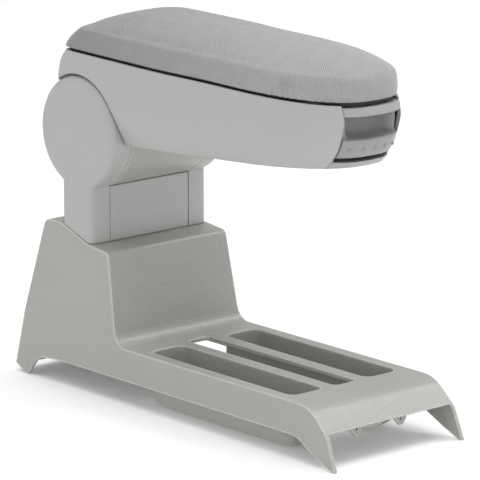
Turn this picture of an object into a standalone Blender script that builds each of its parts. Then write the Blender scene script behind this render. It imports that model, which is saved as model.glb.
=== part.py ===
"""Car armrest: a console bracket, a hinge column and a fold-up arm with a storage bin.

Sizes below are in millimetres; meshes are made in metres.
X runs along the arm (+X is its front), Y across it (+Y is its left side), Z up.
The origin is on the floor, in the middle of the bracket's length and width.
"""
import math

import bmesh
import bpy
from mathutils import Vector

MM = 0.001

# Fits
SEAT_GAP = 0.3
RUNNING_GAP = 1.5
BORE_GAP = 0.3
CUT_OVER = 4.0
MERGE_DISTANCE = 0.002

# Console bracket
BASE_LENGTH = 376.0
TOWER_TOP_Z = 129.5
TOWER_FRONT_DROP = 14.5
TOWER_FRONT_Z = TOWER_TOP_Z - TOWER_FRONT_DROP
TOWER_STEP_DROP = 11.5
TOWER_STEP_Z = TOWER_TOP_Z - TOWER_STEP_DROP
TOWER_REAR_X = -155.5
TOWER_FRONT_X = -77.5
TOWER_FOOT_X = -64.5
DECK_Z = 44.0
SKIRT_Z = 19.0
NOSE_X = 157.5
NOSE_LIP_X = 178.5
NOSE_LIP_Z = 24.6
TOP_HALF_WIDTH = 59.5
FLOOR_HALF_WIDTH = 66.0
MOULD_WALL = 3.0
EDGE_RADIUS = 4.0
FOOT_TIP_X = -173.5
FOOT_REAR_Z = 6.5
SHELF_Z = 87.0
SHELF_THICK = 4.0

# Coin pockets and the slot between them
POCKET_REAR_X = -36.0
POCKET_FRONT_X = 128.6
POCKET_INNER_Y = 21.5
POCKET_OUTER_Y = 54.0
POCKET_FLOOR_Z = 5.5
POCKET_CORNER = 8.0
POCKET_DRAFT = 2.0
SLOT_REAR_X = -42.0
SLOT_HALF_WIDTH = 11.2
SLOT_CORNER = 5.0
TUB_WALL = 2.5

# Lugs under the nose
LUG_X = 164.5
LUG_Y = 22.5
LUG_WIDTH = 12.0
LUG_THICK = 3.0
LUG_TIP_Z = 14.5
LUG_SHOULDER_Z = 20.5
LUG_SLOT_WIDTH = 2.0
LUG_SLOT_HEIGHT = 4.0
TONGUE_X = 158.0
TONGUE_HALF_WIDTH = 13.5
TONGUE_TIP_Z = 16.5

# Column and hinge
HINGE_X = -117.0
HINGE_Z = 203.5
DRUM_RADIUS = 45.0
DRUM_HALF_WIDTH = 39.7
DRUM_WALL = 3.0
WEB_INSET = 3.0
WEB_THICK = 3.0
HUB_RADIUS = 14.0
COLUMN_REAR_X = -136.0
COLUMN_FRONT_X = -99.0
COLUMN_HALF_WIDTH = 59.0
CHEEK_WALL = 2.5
CHEEK_EDGE = 5.0
PANEL_WALL = 2.5

# Steel frame inside the column
UPRIGHT_Y = 44.0
UPRIGHT_THICK = 3.0
UPRIGHT_HALF_DEPTH = 14.0
UPRIGHT_TOP = 20.0
SHAFT_RADIUS = 8.0
SHAFT_HALF_LENGTH = 55.0
BUSH_WALL = 2.0
BUSH_FLANGE_RADIUS = 14.0
BUSH_FLANGE_THICK = 2.0
NUT_RADIUS = 13.0
NUT_THICK = 5.0
WASHER_RADIUS = 18.0
STOP_PIN_RADIUS = 3.0
STOP_PIN_ORBIT = 30.0
STOP_PIN_ANGLE = 100.0
FOLD_ANGLE = 90.0
FRAME_BOLT_RADIUS = 3.0
FRAME_BOLT_Y = 26.0
FRAME_BOLT_X_OFFSET = 8.0
CHEEK_SCREW_RADIUS = 1.9
CHEEK_SCREW_Z = (145.0, 163.0)
CHEEK_BOSS_RADIUS = 5.0

# Arm shell
ARM_REAR_X = -146.0
ARM_FRONT_X = 161.0
ARM_NOSE_START_X = 40.5
ARM_HALF_WIDTH = 57.5
ACROSS_ARM = (-ARM_HALF_WIDTH - 3 * CUT_OVER, ARM_HALF_WIDTH + 3 * CUT_OVER)
ARM_TAPER = 4.0
ARM_TAPER_START_X = -30.0
ARM_NOSE_POWERS = (2.64, 2.69)
ARM_RIM_Z = 266.7
ARM_RIM_FALL = 0.0205
ARM_BOTTOM_Z = 199.0
ARM_WALL = 2.5
ARM_REAR_CORNER = 9.0
ARM_REAR_ROUND = 10.0
ARM_REAR_ROUND_DEPTH = 24.0
ARM_BELLY = 10.8
ARM_BELLY_START = 0.455
ARM_BELLY_POWER = 1.96
ARM_NOSE_BULGE = 3.7
SADDLE_OUTER = DRUM_RADIUS + RUNNING_GAP + ARM_WALL
SADDLE_BOLT_RADIUS = 2.5
SADDLE_BOLT_Y = (-30.0, -10.0, 10.0, 30.0)

# Front bezel and release flap
BEZEL_REAR_X = 130.0
BEZEL_HALF_WIDTH = 28.0
CHIN_TOP_Z = 218.0
BAR_BOTTOM_Z = 253.5
BAR_TOP_Z = 259.5
BAR_DEPTH = 7.0
PILLAR_WIDTH = 2.2
PILLAR_FRONT_X = 141.5
TONGUE_LENGTH = 8.0
BEZEL_SCREW_Y = 9.0
TONGUE_THICK = 3.5
BLIND_FLOOR = 0.8
FLAP_BOTTOM_Z = 221.3
FLAP_RIDGE_Z = 234.5
FLAP_TOP_Z = 252.8
FLAP_WALL = 2.5
FLAP_SIDE_GAP = 0.7
RECESS_REAR_X = 136.5
RECESS_TAPER = 9.0
RECESS_SPREAD = 12.0
LATCH_PIN_X = 138.0
LATCH_PIN_Z = 226.0
LATCH_PIN_RADIUS = 1.5
HOOK_HALF_WIDTH = 6.0
HOOK_TOP_Z = 261.5
HOOK_THICK = 3.0
DOT_RADIUS = 1.7
DOT_PITCH = 10.5
DOT_COUNT = 5
DOT_Z = 227.8

# Bin liner
LINER_WALL = 2.0
LINER_REAR_TOP_X = -86.0
LINER_REAR_BOTTOM_X = -60.0
LINER_FRONT_X = 120.5
LINER_RIM_DROP = 1.5

# Lid
LID_GAP = 1.0
LID_PLATE_THICK = 2.6
LID_PLATE_INSET = 2.2
LIP_THICK = 2.7
LID_BOARD_THICK = 2.4
LID_BOARD_INSET = 5.0
LID_REAR_X = -141.0
LID_REAR_CORNER = 18.0
LID_FRONT_INSET = 1.0
LID_FRONT_SHARE = 0.85
CUSHION_LIFT = 2.5
CUSHION_RISE = 30.0
CUSHION_TILT = 0.014
# Each row: share of the rise, inset all round, further inset at the rear
CUSHION_PROFILE = (
    (0.0, 0.8, -0.5), (0.08, -0.2, 0.0), (0.25, 0.4, 2.2), (0.40, 1.6, 5.5), (0.50, 3.4, 9.0),
    (0.60, 7.5, 12.0), (0.72, 14.5, 16.0), (0.84, 24.0, 19.0), (0.94, 35.0, 22.0), (1.0, 47.0, 26.0))
LID_HINGE_X = -135.0
LID_HINGE_Z = 261.5
LID_PIN_RADIUS = 1.5
LID_PIN_HALF_LENGTH = 40.0
KNUCKLE_RADIUS = 3.0
KNUCKLE_WIDTH = 9.0
KNUCKLE_Y = 24.0
EAR_WIDTH = 4.0
EAR_Y = 37.0
LID_SCREW_RADIUS = 1.6
LID_SCREW_X = (-70.0, 90.0)
LID_SCREW_Y = 32.0

# Mesh fineness
ARC_STEPS = 5
ROUND_STEPS = 32
DRUM_STEPS = 48
SMALL_STEPS = 10
SHAFT_STEPS = 20
NOSE_STEPS = 8


def material(name, colour, roughness, metallic=0.0):
    """A Principled BSDF material."""
    made = bpy.data.materials.new(name)
    made.use_nodes = True
    shader = made.node_tree.nodes["Principled BSDF"]
    shader.inputs["Base Color"].default_value = (*colour, 1.0)
    shader.inputs["Roughness"].default_value = roughness
    shader.inputs["Metallic"].default_value = metallic
    return made


def new_object(name, mesh_data):
    """Link a mesh to the scene as a named object."""
    made = bpy.data.objects.new(name, mesh_data)
    bpy.context.scene.collection.objects.link(made)
    return made


def from_faces(name, points, faces):
    """An object from points in millimetres, with its faces pointing out."""
    mesh_data = bpy.data.meshes.new(name)
    mesh_data.from_pydata([tuple(value * MM for value in point) for point in points], [], faces)
    work = bmesh.new()
    work.from_mesh(mesh_data)
    bmesh.ops.recalc_face_normals(work, faces=work.faces)
    work.to_mesh(mesh_data)
    work.free()
    return new_object(name, mesh_data)


def loft(name, rings):
    """Skin a list of equal closed rings and close both ends."""
    count = len(rings[0])
    points = [point for ring in rings for point in ring]
    faces = []
    for level in range(len(rings) - 1):
        low = level * count
        for index in range(count):
            after = (index + 1) % count
            faces.append((low + index, low + after, low + count + after, low + count + index))
    faces.append(tuple(range(count)))
    faces.append(tuple(range(len(points) - count, len(points))))
    return from_faces(name, points, faces)


def prism_y(name, outline, y_low, y_high):
    """Extrude an (x, z) outline along Y."""
    return loft(name, [[(x, y, z) for x, z in outline] for y in (y_low, y_high)])


def prism_x(name, outline, x_low, x_high):
    """Extrude a (y, z) outline along X."""
    return loft(name, [[(x, y, z) for y, z in outline] for x in (x_low, x_high)])


def box(name, x_span, y_span, z_span):
    """A box from three (low, high) spans."""
    (x_low, x_high), (z_low, z_high) = x_span, z_span
    outline = [(x_low, z_low), (x_high, z_low), (x_high, z_high), (x_low, z_high)]
    return prism_y(name, outline, *y_span)


def circle(centre, radius, steps, start=0.0):
    """Points around a circle, as coordinate pairs."""
    turn = [start + 2 * math.pi * step / steps for step in range(steps)]
    return [(centre[0] + radius * math.cos(a), centre[1] + radius * math.sin(a)) for a in turn]


def rod_y(name, centre, radius, y_span, steps=SMALL_STEPS):
    """A cylinder along Y at an (x, z) centre."""
    return prism_y(name, circle(centre, radius, steps), *y_span)


def rod_z(name, centre, radius, z_span, steps=SMALL_STEPS):
    """A cylinder along Z at an (x, y) centre."""
    rings = [[(x, y, z) for x, y in circle(centre, radius, steps)] for z in z_span]
    return loft(name, rings)


def hinge_rod(name, radius, y_span, steps=ROUND_STEPS):
    """A cylinder on the fold axis."""
    return rod_y(name, (HINGE_X, HINGE_Z), radius, y_span, steps)


def apply_modifiers(target):
    """Turn an object's modifiers into its mesh."""
    graph = bpy.context.evaluated_depsgraph_get()
    result = bpy.data.meshes.new_from_object(target.evaluated_get(graph))
    target.modifiers.clear()
    target.data = result
    result.name = target.name


def merge_near_points(target):
    """Join the points that a Boolean leaves almost on each other."""
    work = bmesh.new()
    work.from_mesh(target.data)
    bmesh.ops.remove_doubles(work, verts=work.verts, dist=MERGE_DISTANCE * MM)
    bmesh.ops.dissolve_degenerate(work, edges=work.edges, dist=MERGE_DISTANCE * MM)
    work.to_mesh(target.data)
    work.free()


def combine(target, tool, operation):
    """Apply one Boolean and remove its tool."""
    modifier = target.modifiers.new(operation, "BOOLEAN")
    modifier.operation = operation
    modifier.solver = "EXACT"
    modifier.object = tool
    apply_modifiers(target)
    merge_near_points(target)
    bpy.data.objects.remove(tool)
    return target


def cut(target, *tools):
    """Take each tool's volume out of the target."""
    for tool in tools:
        combine(target, tool, "DIFFERENCE")
    return target


def join(target, *tools):
    """Add each tool's volume to the target."""
    for tool in tools:
        combine(target, tool, "UNION")
    return target


def keep_inside(target, tool):
    """Keep what the target and the tool share."""
    return combine(target, tool, "INTERSECT")


def bevel_edges(target, wanted, radius, segments=3):
    """Round the edges that the wanted test picks from their end points, in millimetres."""
    work = bmesh.new()
    work.from_mesh(target.data)
    picked = [edge for edge in work.edges if wanted(*[vert.co / MM for vert in edge.verts])]
    bmesh.ops.bevel(work, geom=picked, offset=radius * MM, segments=segments,
                    profile=0.5, affect="EDGES", clamp_overlap=True)
    work.to_mesh(target.data)
    work.free()
    return target


def rounded_path(corners, steps=ARC_STEPS):
    """An open path whose (x, z, radius) corners are turned into arcs."""
    path = [corners[0][:2]]
    for before, corner, after in zip(corners, corners[1:], corners[2:]):
        point = Vector(corner[:2])
        back = (Vector(before[:2]) - point).normalized()
        ahead = (Vector(after[:2]) - point).normalized()
        radius = corner[2]
        half = back.angle(ahead) / 2
        if radius == 0 or half > math.radians(89.5):
            path.append(tuple(point))
            continue
        centre = point + (back + ahead).normalized() * radius / math.sin(half)
        first = point + back * radius / math.tan(half) - centre
        last = point + ahead * radius / math.tan(half) - centre
        sweep = first.angle_signed(last)
        for step in range(steps + 1):
            turn = -sweep * step / steps
            spun = Vector((first.x * math.cos(turn) - first.y * math.sin(turn),
                           first.x * math.sin(turn) + first.y * math.cos(turn)))
            path.append(tuple(centre + spun))
    path.append(corners[-1][:2])
    return path


def offset_path(path, distance):
    """Move an open path sideways, to its right as it runs, with mitred corners."""
    moved = []
    points = [Vector(point) for point in path]
    for index, point in enumerate(points):
        before = points[max(index - 1, 0)]
        after = points[min(index + 1, len(points) - 1)]
        into = (point - before).normalized() if index else (after - point).normalized()
        out = (after - point).normalized() if index < len(points) - 1 else into
        normal_in = Vector((into.y, -into.x))
        normal_out = Vector((out.y, -out.x))
        mitre = (normal_in + normal_out).normalized()
        moved.append(tuple(point + mitre * distance / mitre.dot(normal_in)))
    return moved


def height_on(path, x):
    """The height of a left-to-right path at x."""
    for (x_a, z_a), (x_b, z_b) in zip(path, path[1:]):
        if x_a <= x <= x_b and x_b > x_a:
            return z_a + (z_b - z_a) * (x - x_a) / (x_b - x_a)
    raise ValueError("x is outside the path")


def rounded_rectangle(x_span, y_span, radius, steps=4):
    """A rounded rectangle's (x, y) points, with the same count for any size."""
    points = []
    for x, y, turn in ((x_span[1], y_span[1], 0), (x_span[0], y_span[1], 1),
                       (x_span[0], y_span[0], 2), (x_span[1], y_span[0], 3)):
        centre_x = x - radius if turn in (0, 3) else x + radius
        centre_y = y - radius if turn in (0, 1) else y + radius
        for step in range(steps + 1):
            angle = math.pi / 2 * (turn + step / steps)
            points.append((centre_x + radius * math.cos(angle), centre_y + radius * math.sin(angle)))
    return points


def drafted_block(name, x_span, y_span, radius, levels):
    """A rounded block; levels are (z, inset) pairs from top to bottom."""
    rings = []
    for z, inset in levels:
        flat = rounded_rectangle((x_span[0] + inset, x_span[1] - inset),
                                 (y_span[0] + inset, y_span[1] - inset), radius)
        rings.append([(x, y, z) for x, y in flat])
    return loft(name, rings)


def side_y(z):
    """The bracket's half width at a height: its sides are drafted planes."""
    slope = (FLOOR_HALF_WIDTH - TOP_HALF_WIDTH) / TOWER_TOP_Z
    return TOP_HALF_WIDTH + (TOWER_TOP_Z - z) * slope


def bracket_path():
    """The bracket's outer profile, from its rear foot over the tower to its front tips."""
    half = BASE_LENGTH / 2
    return rounded_path([
        (-half, -CUT_OVER, 0),
        (-half, FOOT_REAR_Z, 0),
        (-half + 9.0, 50.5, 60),
        (TOWER_REAR_X, TOWER_TOP_Z, 7),
        (COLUMN_REAR_X, TOWER_TOP_Z, 25),
        (COLUMN_FRONT_X - 5.0, TOWER_STEP_Z, 30),
        (TOWER_FRONT_X, TOWER_FRONT_Z, 4.5),
        (TOWER_FOOT_X, DECK_Z, 13),
        (NOSE_X, DECK_Z, 30),
        (NOSE_LIP_X, NOSE_LIP_Z, 18),
        (half, -CUT_OVER * 0.25, 0),
    ])


def bracket_solid(name, path, inset=0.0, bottom_z=0.0):
    """The bracket's drafted solid under a profile path."""
    outline = [(path[0][0], bottom_z)] + path[1:-1] + [(path[-1][0], bottom_z)]
    rings = []
    for side in (-1, 1):
        rings.append([(x, side * (side_y(z) - inset), z) for x, z in outline])
    return loft(name, rings)


def skirt_cutter():
    """Everything below the skirt's edge, between the feet and the front tips."""
    half = BASE_LENGTH / 2
    outline = [
        (-half - 8, -CUT_OVER * 2), (-half - 8, FOOT_REAR_Z), (-half, FOOT_REAR_Z),
        (FOOT_TIP_X - 1, 0), (FOOT_TIP_X + 1, 0), (FOOT_TIP_X + 5, 6), (FOOT_TIP_X + 10, 12.5),
        (FOOT_TIP_X + 18, 17), (FOOT_TIP_X + 40, SKIRT_Z), (139, SKIRT_Z), (147, 17.5),
        (153, 14.2), (168, 7), (half - 3, 0), (half - 1, -CUT_OVER * 2),
    ]
    wide = FLOOR_HALF_WIDTH + 3 * CUT_OVER
    return prism_y("skirt_cutter", outline, -wide, wide)


def pocket_parts(side):
    """The outer tub and the hollow of one coin pocket; side is -1 or 1."""
    spans = sorted((side * POCKET_INNER_Y, side * POCKET_OUTER_Y))
    hollow = drafted_block(
        "pocket_hollow", (POCKET_REAR_X, POCKET_FRONT_X), spans, POCKET_CORNER,
        [(DECK_Z + CUT_OVER, -0.6), (DECK_Z, 0.0), (DECK_Z - 2.0, 0.8),
         (POCKET_FLOOR_Z + 4, POCKET_DRAFT), (POCKET_FLOOR_Z, POCKET_DRAFT + 3)])
    outer_spans = (spans[0] - TUB_WALL, spans[1] + TUB_WALL)
    tub = drafted_block(
        "pocket_tub", (POCKET_REAR_X - TUB_WALL, POCKET_FRONT_X + TUB_WALL), outer_spans,
        POCKET_CORNER + TUB_WALL,
        [(DECK_Z - 1.0, 0.8), (POCKET_FLOOR_Z + 3.0, POCKET_DRAFT),
         (POCKET_FLOOR_Z - 0.5, POCKET_DRAFT + 1.2), (POCKET_FLOOR_Z - TUB_WALL, POCKET_DRAFT + 4)])
    return tub, hollow


def console_base(paint):
    """The moulded bracket: tower, deck, coin pockets, slot, feet, lugs and inner shelf."""
    path = bracket_path()
    base = bracket_solid("console_base", path)

    def on_side_edge(a, b):
        return all(abs(abs(p.y) - side_y(p.z)) < 0.05 and p.z > NOSE_LIP_Z for p in (a, b)) \
            and a.y * b.y > 0
    bevel_edges(base, on_side_edge, EDGE_RADIUS)

    inner = offset_path(path, MOULD_WALL)
    cut(base, bracket_solid("base_hollow", inner, MOULD_WALL, -CUT_OVER))
    cut(base, skirt_cutter())

    shelf_x = (HINGE_X - UPRIGHT_HALF_DEPTH - 8, HINGE_X + UPRIGHT_HALF_DEPTH + 8)
    shelf_y = side_y(SHELF_Z) - 1.0
    join(base, box("shelf", shelf_x, (-shelf_y, shelf_y), (SHELF_Z - SHELF_THICK, SHELF_Z)))
    for side in (-1, 1):
        foot_x = HINGE_X + side * (UPRIGHT_HALF_DEPTH + 5)
        brace = [(foot_x, SHELF_Z - 1), (foot_x, height_on(inner, foot_x) + 1.5),
                 (foot_x + 3, height_on(inner, foot_x + 3) + 1.5), (foot_x + 3, SHELF_Z - 1)]
        for across in (-1, 1):
            edge = sorted((across * (UPRIGHT_Y + 8), across * (UPRIGHT_Y + 13)))
            join(base, prism_y("shelf_brace", brace, *edge))

    for side in (-1, 1):
        tub, hollow = pocket_parts(side)
        join(base, tub)
        cut(base, hollow)
    slot_x = (SLOT_REAR_X, POCKET_FRONT_X)
    cut(base, drafted_block("slot_hollow", slot_x, (-SLOT_HALF_WIDTH, SLOT_HALF_WIDTH), SLOT_CORNER,
                            [(DECK_Z + CUT_OVER, -0.6), (DECK_Z, 0.0), (DECK_Z - 1.5, 0.6),
                             (DECK_Z - MOULD_WALL - CUT_OVER, 0.6)]))

    open_y = UPRIGHT_Y + UPRIGHT_THICK + 4
    column_x = (HINGE_X - UPRIGHT_HALF_DEPTH - 1.5, HINGE_X + UPRIGHT_HALF_DEPTH + 1.5)
    cut(base, box("column_opening", column_x, (-open_y, open_y), (SHELF_Z + 10, TOWER_TOP_Z + 10)))
    for x, y in frame_bolt_places():
        cut(base, rod_z("bolt_hole", (x, y), FRAME_BOLT_RADIUS + BORE_GAP,
                        (SHELF_Z - SHELF_THICK - 1, SHELF_Z + 1)))

    mouth = [(x, z) for x, z in ((150, -CUT_OVER), (BASE_LENGTH, -CUT_OVER),
                                 (BASE_LENGTH, NOSE_LIP_Z + 1.5), (150, NOSE_LIP_Z + 1.5))]
    mouth_rings = []
    for side in (-1, 1):
        mouth_rings.append([(x, side * (side_y(z) - MOULD_WALL + 0.2), z) for x, z in mouth])
    cut(base, loft("mouth", mouth_rings))

    for side in (-1, 1):
        join(base, nose_lug(side, inner))
    tongue_root = height_on(inner, TONGUE_X) + 1.0
    arc = [(TONGUE_HALF_WIDTH * math.cos(math.pi * t / 12),
            TONGUE_TIP_Z + 5 - 5 * math.sin(math.pi * t / 12)) for t in range(13)]
    tongue = [(TONGUE_HALF_WIDTH, tongue_root)] + arc + [(-TONGUE_HALF_WIDTH, tongue_root)]
    join(base, prism_x("tongue", tongue, TONGUE_X - 2.5, TONGUE_X))
    return finish(base, paint)


def nose_lug(side, inner):
    """A small pointed lug with a slot, hanging under the nose."""
    centre = side * LUG_Y
    half = LUG_WIDTH / 2
    root = height_on(inner, LUG_X - LUG_THICK) + 0.8
    outline = [(centre - half, root), (centre - half, LUG_SHOULDER_Z), (centre, LUG_TIP_Z),
               (centre + half * 0.4, LUG_TIP_Z + 0.8), (centre + half, LUG_SHOULDER_Z),
               (centre + half, root)]
    lug = prism_x("lug", outline, LUG_X - LUG_THICK, LUG_X)
    slot_z = (LUG_SHOULDER_Z - 1.5, LUG_SHOULDER_Z - 1.5 + LUG_SLOT_HEIGHT)
    slot_y = (centre - LUG_SLOT_WIDTH / 2, centre + LUG_SLOT_WIDTH / 2)
    return cut(lug, box("lug_slot", (LUG_X - 2 * LUG_THICK, LUG_X + LUG_THICK), slot_y, slot_z))


def finish(target, paint, smooth_angle=38.0):
    """Give an object its material and its shading."""
    target.data.materials.clear()
    target.data.materials.append(paint)
    target.data.shade_smooth()
    target.data.set_sharp_from_angle(angle=math.radians(smooth_angle))
    return target


def frame_bolt_places():
    """The (x, y) of the four bolts that hold the steel frame to the shelf."""
    return [(HINGE_X + dx * FRAME_BOLT_X_OFFSET, dy * FRAME_BOLT_Y)
            for dx in (-1, 1) for dy in (-1, 1)]


def cheek_screw_places():
    """The (side, z) of each cheek screw."""
    return [(side, z) for side in (-1, 1) for z in CHEEK_SCREW_Z]


def support_frame(paint):
    """The folded steel channel that carries the hinge shaft."""
    x_span = (HINGE_X - UPRIGHT_HALF_DEPTH, HINGE_X + UPRIGHT_HALF_DEPTH)
    outer = UPRIGHT_Y + UPRIGHT_THICK
    foot_z = (SHELF_Z + SEAT_GAP, SHELF_Z + SEAT_GAP + UPRIGHT_THICK)
    frame = box("support_frame", x_span, (-outer, outer), foot_z)
    for side in (-1, 1):
        edge = sorted((side * UPRIGHT_Y, side * outer))
        join(frame, box("upright", x_span, edge, (foot_z[0], HINGE_Z)))
        join(frame, hinge_rod("upright_head", UPRIGHT_TOP, edge, SHAFT_STEPS))
    shaft_hole = SHAFT_RADIUS + BUSH_WALL + 2 * BORE_GAP
    cut(frame, hinge_rod("shaft_hole", shaft_hole, (-outer - 1, outer + 1), SHAFT_STEPS))
    for x, y in frame_bolt_places():
        cut(frame, rod_z("bolt_hole", (x, y), FRAME_BOLT_RADIUS + BORE_GAP,
                         (foot_z[0] - 1, foot_z[1] + 1)))
    pin_x, pin_z = stop_pin_centre()
    tab_outline = [(pin_x - 7, pin_z + 7), (pin_x + 7, pin_z + 7), (pin_x + 12, HINGE_Z), (pin_x - 6, HINGE_Z)]
    for side in (-1, 1):
        edge = sorted((side * UPRIGHT_Y, side * outer))
        tab = prism_y("stop_tab", tab_outline, *edge)
        cut(tab, hinge_rod("tab_hole", shaft_hole, (-outer - 1, outer + 1), SHAFT_STEPS))
        join(frame, tab)
    cut(frame, rod_y("stop_hole", (pin_x, pin_z), STOP_PIN_RADIUS + BORE_GAP, (-outer - 1, outer + 1)))
    for side, z in cheek_screw_places():
        edge = sorted((side * (UPRIGHT_Y - 1), side * (outer + 1)))
        cut(frame, rod_y("screw_hole", (HINGE_X, z), CHEEK_SCREW_RADIUS + BORE_GAP, edge))
    return finish(frame, paint)


def stop_pin_centre():
    """The (x, z) of the pin that stops the fold."""
    angle = math.radians(STOP_PIN_ANGLE)
    return (HINGE_X + STOP_PIN_ORBIT * math.cos(angle), HINGE_Z + STOP_PIN_ORBIT * math.sin(angle))


def cheek_outline(inset, gap):
    """A cheek's side view: the disc and the column below it, down to the tower's top."""
    radius = DRUM_RADIUS - inset
    rear = COLUMN_REAR_X + inset
    front = COLUMN_FRONT_X - inset
    seat = offset_path(bracket_path(), -gap)
    bottom_x = [rear + (front - rear) * step / 6 for step in range(7)]
    outline = [(x, height_on(seat, x)) for x in bottom_x]
    start = -math.acos((front - HINGE_X) / radius)
    stop = math.pi + math.acos((HINGE_X - rear) / radius)
    steps = ROUND_STEPS - 4
    for step in range(steps + 1):
        angle = start + (stop - start) * step / steps
        outline.append((HINGE_X + radius * math.cos(angle), HINGE_Z + radius * math.sin(angle)))
    return outline


def cheek(side, paint):
    """One moulded side cover of the column; side is -1 (right) or 1 (left)."""
    name = "left_cheek" if side > 0 else "right_cheek"
    inner_y = DRUM_HALF_WIDTH + 2 * SEAT_GAP
    edge = sorted((side * inner_y, side * COLUMN_HALF_WIDTH))
    body = prism_y(name, cheek_outline(0.0, SEAT_GAP), *edge)

    def outer_edge(a, b):
        return all(abs(side * p.y - COLUMN_HALF_WIDTH) < 0.01 for p in (a, b)) \
            and max(a.z, b.z) > TOWER_TOP_Z + 1
    bevel_edges(body, outer_edge, CHEEK_EDGE)
    hollow_y = sorted((side * (inner_y - 1), side * (COLUMN_HALF_WIDTH - CHEEK_WALL)))
    cut(body, prism_y("cheek_hollow", cheek_outline(CHEEK_WALL, -CUT_OVER), *hollow_y))
    boss_y = sorted((side * (UPRIGHT_Y + UPRIGHT_THICK + SEAT_GAP), side * (COLUMN_HALF_WIDTH - 1)))
    hole_y = sorted((side * (UPRIGHT_Y + UPRIGHT_THICK - 1), side * (COLUMN_HALF_WIDTH - CHEEK_WALL)))
    for z in CHEEK_SCREW_Z:
        join(body, rod_y("boss", (HINGE_X, z), CHEEK_BOSS_RADIUS, boss_y))
        cut(body, rod_y("boss_hole", (HINGE_X, z), CHEEK_SCREW_RADIUS + BORE_GAP, hole_y))
    return finish(body, paint)


def column_panel(name, x_outer, inward, paint):
    """The front or rear cover between the cheeks; inward is the X direction to the inside."""
    half = DRUM_HALF_WIDTH
    seat = offset_path(bracket_path(), -SEAT_GAP)
    x_inner = x_outer + inward * PANEL_WALL
    top = []
    for x in (x_outer, x_inner):
        drop = math.sqrt((DRUM_RADIUS + SEAT_GAP) ** 2 - (x - HINGE_X) ** 2)
        top.append((x, HINGE_Z - drop))
    outline = [(x_outer, height_on(seat, x_outer)), top[0], top[1], (x_inner, height_on(seat, x_inner))]
    panel = prism_y(name, outline, -half, half)
    rib_x = x_outer + inward * (PANEL_WALL + 5)
    for side in (-1, 1):
        edge = sorted((side * half, side * (half - PANEL_WALL)))
        drop = math.sqrt((DRUM_RADIUS + SEAT_GAP) ** 2 - (rib_x - HINGE_X) ** 2)
        rib = [(x_outer + inward, height_on(seat, x_inner) + 1), (x_outer + inward, top[0][1] - 2),
               (rib_x, HINGE_Z - drop - 2.0), (rib_x, height_on(seat, rib_x) + 1)]
        join(panel, prism_y("panel_rib", rib, *edge))
    return finish(panel, paint)


def hex_nut(name, side, paint):
    """A nut on one end of the hinge shaft."""
    start = UPRIGHT_Y + UPRIGHT_THICK + BUSH_FLANGE_THICK + 2 * SEAT_GAP
    edge = sorted((side * start, side * (start + NUT_THICK)))
    nut = hinge_rod(name, NUT_RADIUS, edge, 6)
    cut(nut, hinge_rod("thread", SHAFT_RADIUS + BORE_GAP, (edge[0] - 1, edge[1] + 1), SHAFT_STEPS))
    return finish(nut, paint)


def shaft_bush(name, side, paint):
    """A flanged plastic bush in an upright's hole."""
    inner_y = UPRIGHT_Y - SEAT_GAP
    flange_y = UPRIGHT_Y + UPRIGHT_THICK + SEAT_GAP
    sleeve = sorted((side * inner_y, side * (flange_y + 0.5)))
    flange = sorted((side * flange_y, side * (flange_y + BUSH_FLANGE_THICK)))
    bush = hinge_rod(name, SHAFT_RADIUS + BUSH_WALL + BORE_GAP, sleeve)
    join(bush, hinge_rod("flange", BUSH_FLANGE_RADIUS, flange))
    cut(bush, hinge_rod("bore", SHAFT_RADIUS + BORE_GAP, (-60, 60), SHAFT_STEPS))
    return finish(bush, paint)


def friction_washer(name, side, paint):
    """A washer between the drum and an upright, which keeps the arm where it is put."""
    edge = sorted((side * (DRUM_HALF_WIDTH + SEAT_GAP), side * (UPRIGHT_Y - 2 * SEAT_GAP)))
    washer = hinge_rod(name, WASHER_RADIUS, edge)
    cut(washer, hinge_rod("bore", SHAFT_RADIUS + BORE_GAP, (-60, 60), SHAFT_STEPS))
    return finish(washer, paint)


def stop_pin(name, side, paint):
    """A steel pin in an upright that runs in the drum's curved slot."""
    edge = sorted((side * (DRUM_HALF_WIDTH - WEB_INSET - WEB_THICK + 0.5), side * (UPRIGHT_Y + UPRIGHT_THICK)))
    return finish(rod_y(name, stop_pin_centre(), STOP_PIN_RADIUS, edge), paint)


def cheek_screw(name, side, z, paint):
    """A screw through an upright into a cheek's boss."""
    head_y = UPRIGHT_Y - SEAT_GAP
    head = sorted((side * (head_y - 2.4), side * head_y))
    shank = sorted((side * (head_y - 0.5), side * (COLUMN_HALF_WIDTH - CHEEK_WALL - 1.5)))
    screw = rod_y(name, (HINGE_X, z), 2 * CHEEK_SCREW_RADIUS, head)
    join(screw, rod_y("shank", (HINGE_X, z), CHEEK_SCREW_RADIUS, shank))
    return finish(screw, paint)


def frame_bolt(name, x, y, paint):
    """A hex bolt down through the frame's foot and the shelf."""
    top = SHELF_Z + 2 * SEAT_GAP + UPRIGHT_THICK
    bolt = rod_z(name, (x, y), 2 * FRAME_BOLT_RADIUS, (top, top + 4), 6)
    join(bolt, rod_z("shank", (x, y), FRAME_BOLT_RADIUS, (SHELF_Z - SHELF_THICK - 8, top + 0.5)))
    return finish(bolt, paint)


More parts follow.
